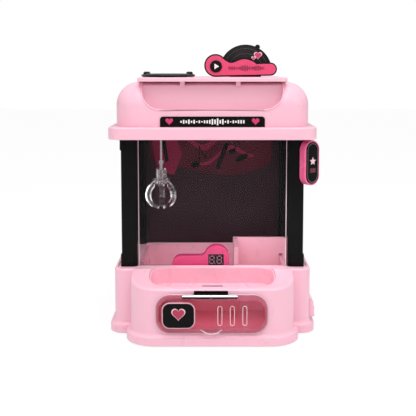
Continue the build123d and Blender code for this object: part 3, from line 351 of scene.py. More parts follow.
def metalFinish(name, colour, roughness, brush=0.0, stretch=(1, 1, 1)):
    # metal with drawn streaks: noise stretched along one axis drives gloss and a faint relief
    material, nodesOf, links = newMaterial(name)
    output = nodesOf.new("ShaderNodeOutputMaterial")
    output.label = "Surface out"
    metal = nodesOf.new("ShaderNodeBsdfPrincipled")
    metal.label = "Metal"
    place = nodesOf.new("ShaderNodeTexCoord")
    place.label = "Place on the piece"
    draw = nodesOf.new("ShaderNodeMapping")
    draw.label = "Drawn along the bar"
    streak = nodesOf.new("ShaderNodeTexNoise")
    streak.label = "Draw marks"
    polish = nodesOf.new("ShaderNodeMapRange")
    polish.label = "Gloss along the marks"
    bump = nodesOf.new("ShaderNodeBump")
    bump.label = "Mark depth"
    soften = nodesOf.new("ShaderNodeBevel")
    soften.label = "Broken edges"
    draw.inputs["Scale"].default_value = stretch
    streak.inputs["Scale"].default_value = 700
    streak.inputs["Detail"].default_value = 3
    polish.inputs["To Min"].default_value = roughness * 0.7
    polish.inputs["To Max"].default_value = roughness * 1.4
    bump.inputs["Strength"].default_value = 0.05 + brush
    bump.inputs["Distance"].default_value = 0.0002
    soften.inputs["Radius"].default_value = 0.0003
    soften.samples = 4
    metal.inputs["Base Color"].default_value = (*colour, 1)
    metal.inputs["Metallic"].default_value = 1
    links.new(place.outputs["Object"], draw.inputs["Vector"])
    links.new(draw.outputs["Vector"], streak.inputs["Vector"])
    links.new(streak.outputs["Fac"], polish.inputs["Value"])
    links.new(polish.outputs["Result"], metal.inputs["Roughness"])
    links.new(streak.outputs["Fac"], bump.inputs["Height"])
    links.new(soften.outputs["Normal"], bump.inputs["Normal"])
    links.new(bump.outputs["Normal"], metal.inputs["Normal"])
    links.new(metal.outputs["BSDF"], output.inputs["Surface"])
    layOut(material.node_tree, {"Marks": [place, draw, streak], "Gloss": [polish], "Relief": [soften, bump],
                                "Surface": [metal, output]})
    return material


def paintedReflectionChrome(name, dark, bright):
    # polished barrel with a painted reflection: the base colour follows the upward part n of the normal,
    # through a ramp over (n + 1) / 2: painted dark below n = 0 for the panel under it mirrored, painted
    # bright from 0.14 to 0.8, dark again above 0.9
    material, nodesOf, links = newMaterial(name)
    output = nodesOf.new("ShaderNodeOutputMaterial")
    output.label = "Surface out"
    metal = nodesOf.new("ShaderNodeBsdfPrincipled")
    metal.label = "Chrome"
    place = nodesOf.new("ShaderNodeTexCoord")
    place.label = "Place and normal on the piece"
    split = nodesOf.new("ShaderNodeSeparateXYZ")
    split.label = "Upward part of the normal"
    bands = nodesOf.new("ShaderNodeValToRGB")
    bands.label = "Painted reflection bands"
    marks = nodesOf.new("ShaderNodeTexNoise")
    marks.label = "Draw marks"
    polish = nodesOf.new("ShaderNodeMapRange")
    polish.label = "Gloss along the marks"
    stops = bands.color_ramp.elements
    stops[0].position, stops[0].color = 0.50, (*dark, 1)
    stops[1].position, stops[1].color = 0.57, (*bright, 1)
    for position, tone in ((0.90, bright), (0.95, dark)):
        stop = stops.new(position)
        stop.color = (*tone, 1)
    marks.inputs["Scale"].default_value = 600
    polish.inputs["To Min"].default_value = 0.10
    polish.inputs["To Max"].default_value = 0.22
    metal.inputs["Metallic"].default_value = 1
    level = nodesOf.new("ShaderNodeMapRange")
    level.label = "Normal from down to up"
    level.inputs["From Min"].default_value = -1
    links.new(place.outputs["Normal"], split.inputs["Vector"])
    links.new(split.outputs["Z"], level.inputs["Value"])
    links.new(level.outputs["Result"], bands.inputs["Fac"])
    links.new(bands.outputs["Color"], metal.inputs["Base Color"])
    links.new(place.outputs["Object"], marks.inputs["Vector"])
    links.new(marks.outputs["Fac"], polish.inputs["Value"])
    links.new(polish.outputs["Result"], metal.inputs["Roughness"])
    links.new(metal.outputs["BSDF"], output.inputs["Surface"])
    layOut(material.node_tree, {"Bands": [place, split, level, bands], "Gloss": [marks, polish],
                                "Surface": [metal, output]})
    return material


def groovedVinyl(name, centre, upAxis, inner, outer):
    # black record: rings from the distance to the centre, fading out past the last groove
    material, nodesOf, links = newMaterial(name)
    output = nodesOf.new("ShaderNodeOutputMaterial")
    output.label = "Surface out"
    vinyl = nodesOf.new("ShaderNodeBsdfPrincipled")
    vinyl.label = "Black vinyl"
    place = nodesOf.new("ShaderNodeTexCoord")
    place.label = "Place on the piece"
    shift = nodesOf.new("ShaderNodeVectorMath")
    shift.label = "From the record's centre"
    flatten = nodesOf.new("ShaderNodeVectorMath")
    flatten.label = "Across the face only"
    reach = nodesOf.new("ShaderNodeVectorMath")
    reach.label = "Distance from the centre"
    wave = nodesOf.new("ShaderNodeMath")
    wave.label = "Groove count"
    ripple = nodesOf.new("ShaderNodeMath")
    ripple.label = "Groove profile"
    band = nodesOf.new("ShaderNodeMapRange")
    band.label = "Grooves start"
    fade = nodesOf.new("ShaderNodeMapRange")
    fade.label = "Grooves end"
    keep = nodesOf.new("ShaderNodeMath")
    keep.label = "Inside the band"
    height = nodesOf.new("ShaderNodeMath")
    height.label = "Groove height"
    dust = nodesOf.new("ShaderNodeTexNoise")
    dust.label = "Dust"
    polish = nodesOf.new("ShaderNodeMapRange")
    polish.label = "Gloss drift"
    bump = nodesOf.new("ShaderNodeBump")
    bump.label = "Groove relief"
    shift.operation = "SUBTRACT"
    shift.inputs[1].default_value = centre
    flatten.operation = "MULTIPLY"
    flatten.inputs[1].default_value = [0.0 if i == upAxis else 1.0 for i in range(3)]
    reach.operation = "LENGTH"
    wave.operation = "MULTIPLY"
    wave.inputs[1].default_value = 2 * math.pi / 0.0009
    ripple.operation = "SINE"
    band.inputs["From Min"].default_value = inner
    band.inputs["From Max"].default_value = inner + 0.0006
    fade.inputs["From Min"].default_value = outer
    fade.inputs["From Max"].default_value = outer + 0.0006
    fade.inputs["To Min"].default_value = 1
    fade.inputs["To Max"].default_value = 0
    keep.operation = "MULTIPLY"
    height.operation = "MULTIPLY"
    dust.inputs["Scale"].default_value = 260
    polish.inputs["To Min"].default_value = 0.16
    polish.inputs["To Max"].default_value = 0.34
    bump.inputs["Strength"].default_value = 0.35
    bump.inputs["Distance"].default_value = 0.00025
    vinyl.inputs["Base Color"].default_value = (0.008, 0.0075, 0.008, 1)
    vinyl.inputs["Specular IOR Level"].default_value = 0.2
    links.new(place.outputs["Object"], shift.inputs[0])
    links.new(shift.outputs["Vector"], flatten.inputs[0])
    links.new(flatten.outputs["Vector"], reach.inputs[0])
    links.new(reach.outputs["Value"], wave.inputs[0])
    links.new(wave.outputs["Value"], ripple.inputs[0])
    links.new(reach.outputs["Value"], band.inputs["Value"])
    links.new(reach.outputs["Value"], fade.inputs["Value"])
    links.new(band.outputs["Result"], keep.inputs[0])
    links.new(fade.outputs["Result"], keep.inputs[1])
    links.new(ripple.outputs["Value"], height.inputs[0])
    links.new(keep.outputs["Value"], height.inputs[1])
    links.new(height.outputs["Value"], bump.inputs["Height"])
    links.new(place.outputs["Object"], dust.inputs["Vector"])
    links.new(dust.outputs["Fac"], polish.inputs["Value"])
    links.new(polish.outputs["Result"], vinyl.inputs["Roughness"])
    links.new(bump.outputs["Normal"], vinyl.inputs["Normal"])
    links.new(vinyl.outputs["BSDF"], output.inputs["Surface"])
    layOut(material.node_tree, {"Distance": [place, shift, flatten, reach],
                                "Grooves": [wave, ripple, band, fade, keep, height, bump],
                                "Gloss": [dust, polish], "Surface": [vinyl, output]})
    return material


def printedSheet(name, ground, spot, scale):
    # ink on card: a dot screen laid over drifting ink, a little glossier where the ink is thick
    material, nodesOf, links = newMaterial(name)
    output = nodesOf.new("ShaderNodeOutputMaterial")
    output.label = "Surface out"
    ink = nodesOf.new("ShaderNodeBsdfPrincipled")
    ink.label = "Ink on card"
    place = nodesOf.new("ShaderNodeTexCoord")
    place.label = "Place on the piece"
    drift = nodesOf.new("ShaderNodeTexNoise")
    drift.label = "Ink drift"
    dots = nodesOf.new("ShaderNodeTexVoronoi")
    dots.label = "Dot screen"
    dotEdge = nodesOf.new("ShaderNodeMapRange")
    dotEdge.label = "Dot size"
    amount = nodesOf.new("ShaderNodeMath")
    amount.label = "Ink laid down"
    blend = nodesOf.new("ShaderNodeMix")
    blend.label = "Ground to spot colour"
    polish = nodesOf.new("ShaderNodeMapRange")
    polish.label = "Gloss of the ink"
    drift.inputs["Scale"].default_value = 18
    dots.inputs["Scale"].default_value = scale
    dots.inputs["Randomness"].default_value = 0.0
    dotEdge.inputs["From Min"].default_value = 0.2
    dotEdge.inputs["From Max"].default_value = 0.6
    dotEdge.inputs["To Min"].default_value = 1
    dotEdge.inputs["To Max"].default_value = 0
    amount.operation = "MULTIPLY"
    ink.inputs["Specular IOR Level"].default_value = 0.15
    blend.data_type = "RGBA"
    blend.inputs["A"].default_value = (*ground, 1)
    blend.inputs["B"].default_value = (*spot, 1)
    polish.inputs["To Min"].default_value = 0.5
    polish.inputs["To Max"].default_value = 0.28
    links.new(place.outputs["Object"], drift.inputs["Vector"])
    links.new(place.outputs["Object"], dots.inputs["Vector"])
    links.new(dots.outputs["Distance"], dotEdge.inputs["Value"])
    links.new(dotEdge.outputs["Result"], amount.inputs[0])
    links.new(drift.outputs["Fac"], amount.inputs[1])
    links.new(amount.outputs["Value"], blend.inputs["Factor"])
    links.new(blend.outputs["Result"], ink.inputs["Base Color"])
    links.new(drift.outputs["Fac"], polish.inputs["Value"])
    links.new(polish.outputs["Result"], ink.inputs["Roughness"])
    links.new(ink.outputs["BSDF"], output.inputs["Surface"])
    layOut(material.node_tree, {"Screen": [place, drift, dots, dotEdge, amount, blend], "Gloss": [polish],
                                "Surface": [ink, output]})
    return material


def twistedFibre(name, colour, gap):
    # soft yarn: fine fibres along the strand, with a darker tone mixed in by the fibre noise
    material, nodesOf, links = newMaterial(name)
    output = nodesOf.new("ShaderNodeOutputMaterial")
    output.label = "Surface out"
    yarn = nodesOf.new("ShaderNodeBsdfPrincipled")
    yarn.label = "Yarn"
    place = nodesOf.new("ShaderNodeTexCoord")
    place.label = "Place on the piece"
    lie = nodesOf.new("ShaderNodeMapping")
    lie.label = "Fibres lie along the cord"
    fibre = nodesOf.new("ShaderNodeTexNoise")
    fibre.label = "Fibres"
    blend = nodesOf.new("ShaderNodeMix")
    blend.label = "Fibre to gap colour"
    bump = nodesOf.new("ShaderNodeBump")
    bump.label = "Fibre relief"
    lie.inputs["Scale"].default_value = (1, 1, 0.25)
    fibre.inputs["Scale"].default_value = 2600
    blend.data_type = "RGBA"
    blend.inputs["A"].default_value = (*colour, 1)
    blend.inputs["B"].default_value = (*gap, 1)
    bump.inputs["Strength"].default_value = 0.5
    bump.inputs["Distance"].default_value = 0.0001
    yarn.inputs["Roughness"].default_value = 0.75
    yarn.inputs["Sheen Weight"].default_value = 0.3
    links.new(place.outputs["Object"], lie.inputs["Vector"])
    links.new(lie.outputs["Vector"], fibre.inputs["Vector"])
    links.new(fibre.outputs["Fac"], blend.inputs["Factor"])
    links.new(blend.outputs["Result"], yarn.inputs["Base Color"])
    links.new(fibre.outputs["Fac"], bump.inputs["Height"])
    links.new(bump.outputs["Normal"], yarn.inputs["Normal"])
    links.new(yarn.outputs["BSDF"], output.inputs["Surface"])
    layOut(material.node_tree, {"Fibres": [place, lie, fibre, blend, bump], "Surface": [yarn, output]})
    return material


# every moulded or inked surface: its colour, its second shade, its roughness and what else differs
mouldings = {
    "shellPink": ((0.895, 0.505, 0.610), (0.888, 0.494, 0.600), 0.30, {"coat": 0.2, "edge": 0.0009}),
    "wellPink": ((0.900, 0.460, 0.560), (0.892, 0.445, 0.546), 0.28, {}),
    "outletPink": ((0.900, 0.235, 0.350), (0.870, 0.210, 0.325), 0.30, {}),
    "hotPink": ((0.900, 0.064, 0.245), (0.880, 0.058, 0.235), 0.22, {"coat": 0.3}),
    "signPink": ((0.740, 0.075, 0.180), (0.700, 0.065, 0.160), 0.40, {"coat": 0.05, "shine": 0.3}),
    "rimPink": ((0.830, 0.130, 0.300), (0.800, 0.115, 0.275), 0.25, {"coat": 0.3}),
    "postBlack": ((0.0034, 0.0032, 0.0034), (0.0058, 0.0054, 0.0058), 0.22,
                  {"coat": 0.0, "edge": 0.0009, "shine": 0.09}),
    "signBlack": ((0.0034, 0.0032, 0.0034), (0.0058, 0.0054, 0.0058), 0.36, {"coat": 0.0, "shine": 0.15}),
    "whitePlastic": ((0.780, 0.770, 0.750), (0.720, 0.710, 0.690), 0.42, {"coat": 0.0}),
    "rubberBlack": ((0.02, 0.02, 0.02), (0.03, 0.03, 0.03), 0.75, {"grain": 0.2, "coat": 0.0}),
    "boardGreen": ((0.01, 0.12, 0.05), (0.015, 0.16, 0.07), 0.35, {"coat": 0.5}),
    "cellWrap": ((0.05, 0.05, 0.06), (0.08, 0.07, 0.05), 0.3, {"coat": 0.5}),
    "windowBlack": ((0.018, 0.004, 0.008), (0.03, 0.006, 0.012), 0.15, {"coat": 0.0, "shine": 0.25}),
    "darkPanel": ((0.020, 0.013, 0.016), (0.028, 0.018, 0.023), 0.3, {"coat": 0.0, "shine": 0.12}),
    # painted highlight: the pale tone of tubes standing for light caught by clear edges
    "paintedEdgeHighlight": ((0.88, 0.72, 0.76), (0.80, 0.62, 0.67), 0.18, {"coat": 0.6}),
    "paleInk": ((0.88, 0.60, 0.65), (0.83, 0.55, 0.60), 0.4, {"coat": 0.0}),
    "whiteInk": ((0.88, 0.87, 0.87), (0.84, 0.83, 0.83), 0.4, {"coat": 0.0}),
    "heartInk": ((0.62, 0.035, 0.14), (0.56, 0.028, 0.12), 0.35, {"coat": 0.1}),
    "badgeInk": ((0.46, 0.022, 0.075), (0.41, 0.018, 0.065), 0.40, {"coat": 0.1}),
    "barInk": ((0.13, 0.008, 0.035), (0.10, 0.006, 0.025), 0.45, {"coat": 0.0}),
    "grooveGrey": ((0.075, 0.065, 0.070), (0.060, 0.052, 0.056), 0.4, {"coat": 0.0}),
    "segmentPale": ((0.40, 0.24, 0.31), (0.36, 0.21, 0.28), 0.3, {"coat": 0.0}),
    "bevelPink": ((0.72, 0.40, 0.47), (0.66, 0.35, 0.42), 0.14, {"coat": 0.7}),
    # painted shade: the darker pink of the ring round the prize outlet
    "paintedShadePink": ((0.74, 0.185, 0.270), (0.70, 0.165, 0.245), 0.3, {}),
}
moulded = {name: mouldedPlastic(name, colour, shade, roughness, **more)
           for name, (colour, shade, roughness, more) in mouldings.items()}
# the hinge chrome has its reflection painted into its colour as dark and bright bands
chromeWithPaintedReflection = paintedReflectionChrome("chromeWithPaintedReflection", (0.022, 0.018, 0.019), (0.80, 0.79, 0.80))
drawnSteel = metalFinish("drawnSteel", (0.55, 0.55, 0.57), 0.3, 0.1, (0.1, 1, 1))
brassStock = metalFinish("brassStock", (0.75, 0.53, 0.2), 0.28, 0.05)
paneClear = clearSheet("paneClear", (0.985, 0.98, 0.985), 0.04, ior=1.12, haze=0.002)
doorClear = clearSheet("doorClear", (0.97, 0.92, 0.94), 0.05, ior=1.2, haze=0.006)
clawClear = castClear("clawClear", (0.97, 0.95, 0.955), 0.04, (0.85, 0.82, 0.83))
backdropInk = printedSheet("backdropInk", (0.018, 0.008, 0.012), (0.045, 0.014, 0.022), 900)
maroonInk = printedSheet("maroonInk", (0.060, 0.005, 0.014), (0.105, 0.009, 0.026), 900)
crimsonInk = printedSheet("crimsonInk", (0.20, 0.010, 0.045), (0.28, 0.018, 0.070), 900)
noteInk = printedSheet("noteInk", (0.0030, 0.0024, 0.0028), (0.005, 0.004, 0.0045), 900)
cordWhite = twistedFibre("cordWhite", (0.93, 0.91, 0.89), (0.66, 0.60, 0.60))

discLow, discHigh = boxOf("record_disc")
discCentre = (discLow + discHigh) / 2
discVinyl = groovedVinyl("discVinyl", tuple(discCentre), 2, 0.0245, 0.030)
recordLow, recordHigh = boxOf("sign_record")
recordRadius = (recordHigh[0] - recordLow[0]) / 2
recordCentre = np.array([(recordLow[0] + recordHigh[0]) / 2, recordLow[1], recordHigh[2] - recordRadius])
signVinyl = groovedVinyl("signVinyl", tuple(recordCentre), 1, 0.012, 0.0345)

finishes = {
    moulded["shellPink"]: "base_shell bottom_plate battery_door roof_frame roof_dome top_lid switch_pod",
    moulded["rimPink"]: "star_bezel",
    moulded["wellPink"]: "pit_tray chute_guard deck_pocket",
    moulded["outletPink"]: "outlet_box",
    moulded["hotPink"]: "display_housing",
    moulded["signPink"]: "sign_bar",
    moulded["postBlack"]: ("corner_posts post_sockets star_cap door_badge title_plate "
                           "power_sockets battery_box speaker power_slider"),
    moulded["signBlack"]: "sign_backing sign_play_disc",
    discVinyl: "record_disc",
    signVinyl: "sign_record",
    moulded["darkPanel"]: "back_panel",
    backdropInk: "backdrop_card",
    paneClear: "front_pane side_panes",
    doorClear: "prize_door",
    clawClear: "claw_finger_1 claw_finger_2 claw_finger_3 claw_hub claw_plunger",
    chromeWithPaintedReflection: "door_hinge door_knuckles",
    drawnSteel: "side_rails bridge_beams lid_hinge_pins case_screws bridge_motor trolley_motors claw_pins",
    moulded["rubberBlack"]: "rubber_feet",
    moulded["boardGreen"]: "main_board",
    moulded["whitePlastic"]: "bridge_ends cross_rack rack_and_brackets trolley_frame winch_drum",
    brassStock: "bridge_pinion trolley_pinion winch_pinion",
    cordWhite: "winch_cord_wraps hoist_cord",
    moulded["cellWrap"]: "battery_cells",
    moulded["windowBlack"]: "display_module",
}
for material, names in finishes.items():
    for name in names.split():
        holder = nodes[name]
        if not holder.material_slots:
            holder.data.materials.append(material)
        for slot in holder.material_slots:
            slot.material = material
print("materials on", sum(len(v.split()) for v in finishes.values()), "CAD nodes")


# Player sign on the lid; each heart is its x, its z and its width
sign = {"barCount": 31, "barPitch": 0.00165, "barWidth": 0.00085, "tallest": 0.0105, "barX": 0.0475,
        "barUp": 0.0102, "ink": 0.00035, "playWidth": 0.0022, "playHeight": 0.0040, "playInk": 0.0004,
        "heartEdge": 0.0024,
        "hearts": ((0.0640, 0.3680, 0.0092), (0.0578, 0.3643, 0.0040))}
signLow = boxOf("sign_bar")[0]


def levelBars(centreX, centreZ, facts):
    # bar height follows a few sines so that it looks like sound
    i = np.arange(facts["barCount"])
    wave = 0.32 + 0.28 * np.abs(np.sin(i * 1.7)) + 0.22 * np.sin(i * 0.55 + 0.6) + 0.18 * np.sin(i * 2.9)
    swell = 1.15 - 0.5 * np.abs(i / facts["barCount"] * 2 - 1.1)
    height = facts["tallest"] * np.clip(wave * swell, 0.12, 1)
    x = centreX + (i - (len(i) - 1) / 2) * facts["barPitch"]
    half = facts["barWidth"] / 2
    return [np.array([[a - half, centreZ - h / 2], [a + half, centreZ - h / 2],
                      [a + half, centreZ + h / 2], [a - half, centreZ + h / 2]]) for a, h in zip(x, height)]


bars = levelBars(sign["barX"], signLow[2] + sign["barUp"], sign)
addPlates("signSoundBars", bars, flatPlace((0, signLow[1], 0)), sign["ink"], moulded["barInk"], "lid",
          "black_plastic")

playLow, playHigh = boxOf("sign_play_disc")
playCentre = (playLow + playHigh) / 2
playPlace = flatPlace((playCentre[0], playLow[1], playCentre[2]))
triangle = np.array([[-1, -1], [2, 0], [-1, 1]]) * (sign["playWidth"], sign["playHeight"])
addPlates("signPlayMark", [triangle], playPlace, sign["playInk"], moulded["whiteInk"], "lid", "white_plastic")

recordFace = boxOf("sign_backing")[1][1]
heartLayers = {"signHeartEdges": (sign["heartEdge"], moulded["paleInk"], 0.0004),
               "signHearts": (0.0, moulded["heartInk"], 0.0007)}
for name, (extra, ink, depth) in heartLayers.items():
    outlines = [heartOutline(w + extra) + np.array([x, z]) for x, z, w in sign["hearts"]]
    addPlates(name, outlines, flatPlace((0, recordFace, 0)), depth, ink, "lid", "hot_pink")

grooves = {"radii": (0.0242, 0.0313), "line": 0.00028, "from": 8, "to": 172, "steps": 80, "behind": 0.00005}
rings = []
for radius in grooves["radii"]:
    a = np.linspace(math.radians(grooves["from"]), math.radians(grooves["to"]), grooves["steps"])
    path = np.stack([recordCentre[0] + radius * np.cos(a),
                     np.full(grooves["steps"], recordFace + grooves["behind"]),
                     recordCentre[2] + radius * np.sin(a)], 1)
    rings.append(sweepMesh(path, grooves["line"], 6))
addMesh("recordGrooves", *joinMeshes(rings), moulded["grooveGrey"], "lid", "black_plastic")
print("player sign dressed")


# Title plate under the dome
title = {"heart": 0.0100, "heartX": 0.0562, "barCount": 25, "barPitch": 0.0034, "barWidth": 0.0020,
         "tallest": 0.0092, "ink": 0.0004}
titleLow, titleHigh = boxOf("title_plate")
titleMid = (titleLow + titleHigh) / 2
titlePlace = flatPlace((titleMid[0], titleLow[1], titleMid[2]))
hearts = [heartOutline(title["heart"]) + np.array([side * title["heartX"], 0]) for side in (-1, 1)]
addPlates("titleHearts", hearts, titlePlace, title["ink"], moulded["heartInk"], "cabinet", "hot_pink")
addPlates("titleLevelMeter", levelBars(0, 0, title), titlePlace, title["ink"], moulded["whiteInk"], "cabinet",
          "white_plastic")
print("title plate dressed")


# Badge on the prize door
badge = {"heart": 0.0150, "edge": 0.0026, "depth": 0.0005, "rise": 0.0014, "frame": 0.0009,
         "frameWider": 0.0016, "frameCorner": 0.0093, "frameBehind": 0.0010}
badgeLow, badgeHigh = boxOf("door_badge")
badgeMid = (badgeLow + badgeHigh) / 2
badgePlace = flatPlace((badgeMid[0], badgeLow[1], badgeMid[2] + badge["rise"]))
addPlates("badgeHeartEdge", [heartOutline(badge["heart"] + badge["edge"])], badgePlace, badge["depth"],
          moulded["paleInk"], "door", "hot_pink")
addPlates("badgeHeart", [heartOutline(badge["heart"])], badgePlace, badge["depth"] * 1.8, moulded["badgeInk"],
          "door", "hot_pink")


def ringPath(outline, centre, y):
    # an outline in X and Z carried to its place as a closed path
    return np.stack([centre[0] + outline[:, 0], np.full(len(outline), y), centre[1] + outline[:, 1]], 1)


badgeSize = badgeHigh - badgeLow + badge["frameWider"]
badgeRing = roundedOutline(badgeSize[0], badgeSize[2], badge["frameCorner"], 16)
path = ringPath(badgeRing, (badgeMid[0], badgeMid[2]), badgeLow[1] + badge["frameBehind"])
addMesh("badgeFrame", *sweepMesh(path, badge["frame"], 10, closed=True), moulded["bevelPink"], "door",
        "clear_door")
print("door badge dressed")


# Painted highlights on the clear flap: pale tubes along its edge and round its slots stand in
# for the light caught by the sheet's edges
flap = {"sheet": 0.0022, "edge": 0.00055, "edgeInset": 0.0011, "edgeCorner": 0.0185, "edgeBehind": 0.0008,
        "slotEdge": 0.00045, "slotX": (0.0094, 0.0251, 0.0408), "slotZ": 0.0404, "slotWidth": 0.0052,
        "slotHeight": 0.0248, "slotAhead": 0.0009}
doorLow, doorHigh = boxOf("prize_door")
doorMid = (doorLow + doorHigh) / 2
sheetFront = doorHigh[1] - flap["sheet"]
doorSize = doorHigh - doorLow
doorRim = roundedOutline(doorSize[0] - flap["edgeInset"], doorSize[2] - flap["edgeInset"],
                         flap["edgeCorner"], 20)
rimPath = ringPath(doorRim, (doorMid[0], doorMid[2]), sheetFront + flap["edgeBehind"])
highlightTubes = [sweepMesh(rimPath, flap["edge"], 10, closed=True)]
slotRim = roundedOutline(flap["slotWidth"], flap["slotHeight"], flap["slotWidth"] / 2 - 0.0001, 12)
for x in flap["slotX"]:
    path = ringPath(slotRim, (x, flap["slotZ"]), sheetFront - flap["slotAhead"])
    highlightTubes.append(sweepMesh(path, flap["slotEdge"], 8, closed=True))
addMesh("flapPaintedHighlights", *joinMeshes(highlightTubes), moulded["paintedEdgeHighlight"], "door", "clear_door")

# Painted highlight on the flap: a pale tube along the pull lip, on this curve
# x = middle + half t, z = height - sag (1 - t^2) and radius = thin + swell (1 - t^2), for t from -1 to 1
lip = {"middle": -0.0014, "half": 0.0136, "ahead": 0.0044, "height": 0.0240, "sag": 0.0060, "thin": 0.00045,
       "swell": 0.0003, "steps": 40}
t = np.linspace(-1, 1, lip["steps"])
lipPath = np.stack([lip["middle"] + lip["half"] * t, np.full(lip["steps"], sheetFront - lip["ahead"]),
                    lip["height"] - lip["sag"] * (1 - t ** 2)], 1)
lipRadius = lip["thin"] + lip["swell"] * (1 - t ** 2)
addMesh("pullLipPaintedHighlight", *sweepMesh(lipPath, lipRadius, 8), moulded["paintedEdgeHighlight"], "door", "clear_door")

# Painted shade: a darker pink ring on the cabinet round the prize outlet, seen through the flap,
# stands in for the shadow where the flap sits
seatShade = {"mouthHalf": 0.0680, "mouthLow": 0.0220, "mouthHigh": 0.0590, "mouthCorner": 0.0150, "front": -0.1220,
        "depth": 0.0003, "margin": 0.0012, "edgeCorner": 0.0180}
mouth = roundedOutline(2 * seatShade["mouthHalf"], seatShade["mouthHigh"] - seatShade["mouthLow"], seatShade["mouthCorner"], 20)
mouth = mouth + np.array([doorMid[0], (seatShade["mouthLow"] + seatShade["mouthHigh"]) / 2])
edge = roundedOutline(doorSize[0] - 2 * seatShade["margin"], doorSize[2] - 2 * seatShade["margin"],
                      seatShade["edgeCorner"], 20)
edge = edge + doorMid[[0, 2]]
near = seatShade["front"] - seatShade["depth"]
rings = [(mouth, seatShade["front"]), (mouth, near), (edge, near), (edge, seatShade["front"])]
points = np.concatenate([np.stack([loop[:, 0], np.full(len(loop), y), loop[:, 1]], 1) for loop, y in rings])
count = len(mouth)
i = np.arange(count)
j = np.roll(i, -1)
faces = np.concatenate([np.stack([i + a, j + a, j + b, i + b], 1)
                        for a, b in ((0, count), (count, 2 * count), (2 * count, 3 * count))])
addMesh("outletPaintedShade", points, faces.tolist(), moulded["paintedShadePink"], "cabinet", "inner_pink", smooth=False)
print("flap edges in place")


# Star button on the right post
star = {"turn": math.radians(35), "radius": 0.0056, "up": 0.0022, "capHalf": 0.0027, "ink": 0.0005,
        "back": -0.0003, "barWidth": 0.0100, "barHeight": 0.0058, "barUp": -0.0098, "inlayWidth": 0.0172,
        "inlayHeight": 0.0512, "inlayCorner": 0.0085, "inlayLine": 0.00022, "inlayAhead": 0.00005}
capLow, capHigh = boxOf("star_cap")
out = np.array([math.sin(star["turn"]), -math.cos(star["turn"]), 0])
starPlace = flatPlace((capLow + capHigh) / 2 + out * star["capHalf"], star["turn"])
addPlates("starMark", [starOutline(star["radius"]) + np.array([0, star["up"]])], starPlace, star["ink"],
          moulded["paleInk"], "star_button", "hot_pink", back=star["back"])
slant = np.array([[-0.5, -0.5], [0.46, -0.5], [0.5, 0.5], [-0.46, 0.5]])
slant = slant * (star["barWidth"], star["barHeight"])
addPlates("starBar", [slant + np.array([0, star["barUp"]])], starPlace, star["ink"], moulded["barInk"],
          "star_button", "hot_pink", back=star["back"])
inlay = roundedOutline(star["inlayWidth"], star["inlayHeight"], star["inlayCorner"], 14)
middle, right, up, ahead = starPlace
path = middle + inlay[:, :1] * right + inlay[:, 1:] * up + star["inlayAhead"] * ahead
addMesh("starInlay", *sweepMesh(path, star["inlayLine"], 6, closed=True), drawnSteel, "star_button", "steel")
print("star button dressed")


# Count-down digits behind the front pane
digits = {"height": 0.0100, "width": 0.0058, "gap": 0.0100, "stroke": 0.0013, "lean": 0.05, "rise": 0.0006,
          "shift": -0.0006, "dot": 0.00062, "dotGap": 0.0012, "ink": 0.00025}
windowLow, windowHigh = boxOf("display_module")
windowMid = (windowLow + windowHigh) / 2


def segmentOutlines(x0, z0, facts):
    # seven pointed bars of a digit, leaning a little to the right
    h, w, s = facts["height"] / 2, facts["width"] / 2, facts["stroke"] / 2
    flatBar = np.array([[-w + 2 * s, -s], [w - 2 * s, -s], [w - s, 0],
                        [w - 2 * s, s], [-w + 2 * s, s], [-w + s, 0]])
    upBar = np.array([[-s, -h / 2 + 1.5 * s], [0, -h / 2 + s], [s, -h / 2 + 1.5 * s], [s, h / 2 - 1.5 * s],
                      [0, h / 2 - s], [-s, h / 2 - 1.5 * s]])
    places = [(flatBar, 0, h), (flatBar, 0, 0), (flatBar, 0, -h), (upBar, -w, h / 2), (upBar, w, h / 2),
              (upBar, -w, -h / 2), (upBar, w, -h / 2)]
    result = []
    for shape, dx, dz in places:
        p = shape + np.array([dx, dz])
        p = np.stack([p[:, 0] + p[:, 1] * facts["lean"] + x0, p[:, 1] + z0], 1)
        result.append(p)
    dot = ellipseOutline(facts["dot"], facts["dot"], 14) + np.array([x0 + w + facts["dotGap"], z0 - h])
    return result + [dot]


outlines = []
for side in (-0.5, 0.5):
    outlines += segmentOutlines(side * digits["gap"] + digits["shift"], digits["rise"], digits)
digitPlace = flatPlace((windowMid[0], windowLow[1], windowMid[2]))
addPlates("countdownDigits", outlines, digitPlace, digits["ink"], moulded["segmentPale"], "cabinet",
          "display_black")
print("count-down digits in place")


# Print on the backdrop card
printed = {"panel": 0.00015, "ribbons": 0.0003, "notes": 0.00045, "swing": 0.009}
cardPlace = flatPlace((0, boxOf("backdrop_card")[0][1], 0))


def ribbonOutline(x0, x1, z0, rise, width, waves, phase):
    # z = z0 + rise t + swing sin(2 pi waves t + phase), t from 0 to 1 along it, wider in the middle
    x = np.linspace(x0, x1, 60)
    t = (x - x0) / (x1 - x0)
    mid = z0 + rise * t + printed["swing"] * np.sin(waves * t * 2 * np.pi + phase)
    half = width / 2 * (0.35 + 0.65 * np.sin(np.pi * t) ** 0.6)
    upper, lower = np.stack([x, mid + half], 1), np.stack([x, mid - half], 1)
    return np.concatenate([lower, upper[::-1]])


def noteOutlines(x, z, size):
    # a leaning oval head, a stem and a flag
    head = ellipseOutline(0.36 * size, 0.26 * size, 30, 0.4) + np.array([x, z])
    stem = np.array([[0.26, 0.05], [0.36, 0.05], [0.36, 1.5], [0.26, 1.5]]) * size + np.array([x, z])
    t = np.linspace(0, 1, 14)
    curl = np.stack([0.34 + 0.55 * t, 1.5 - 0.85 * t ** 0.7], 1)
    flag = np.concatenate([curl, (curl - [0, 0.16])[::-1]]) * size + np.array([x, z])
    return [head, stem, flag[::-1]]


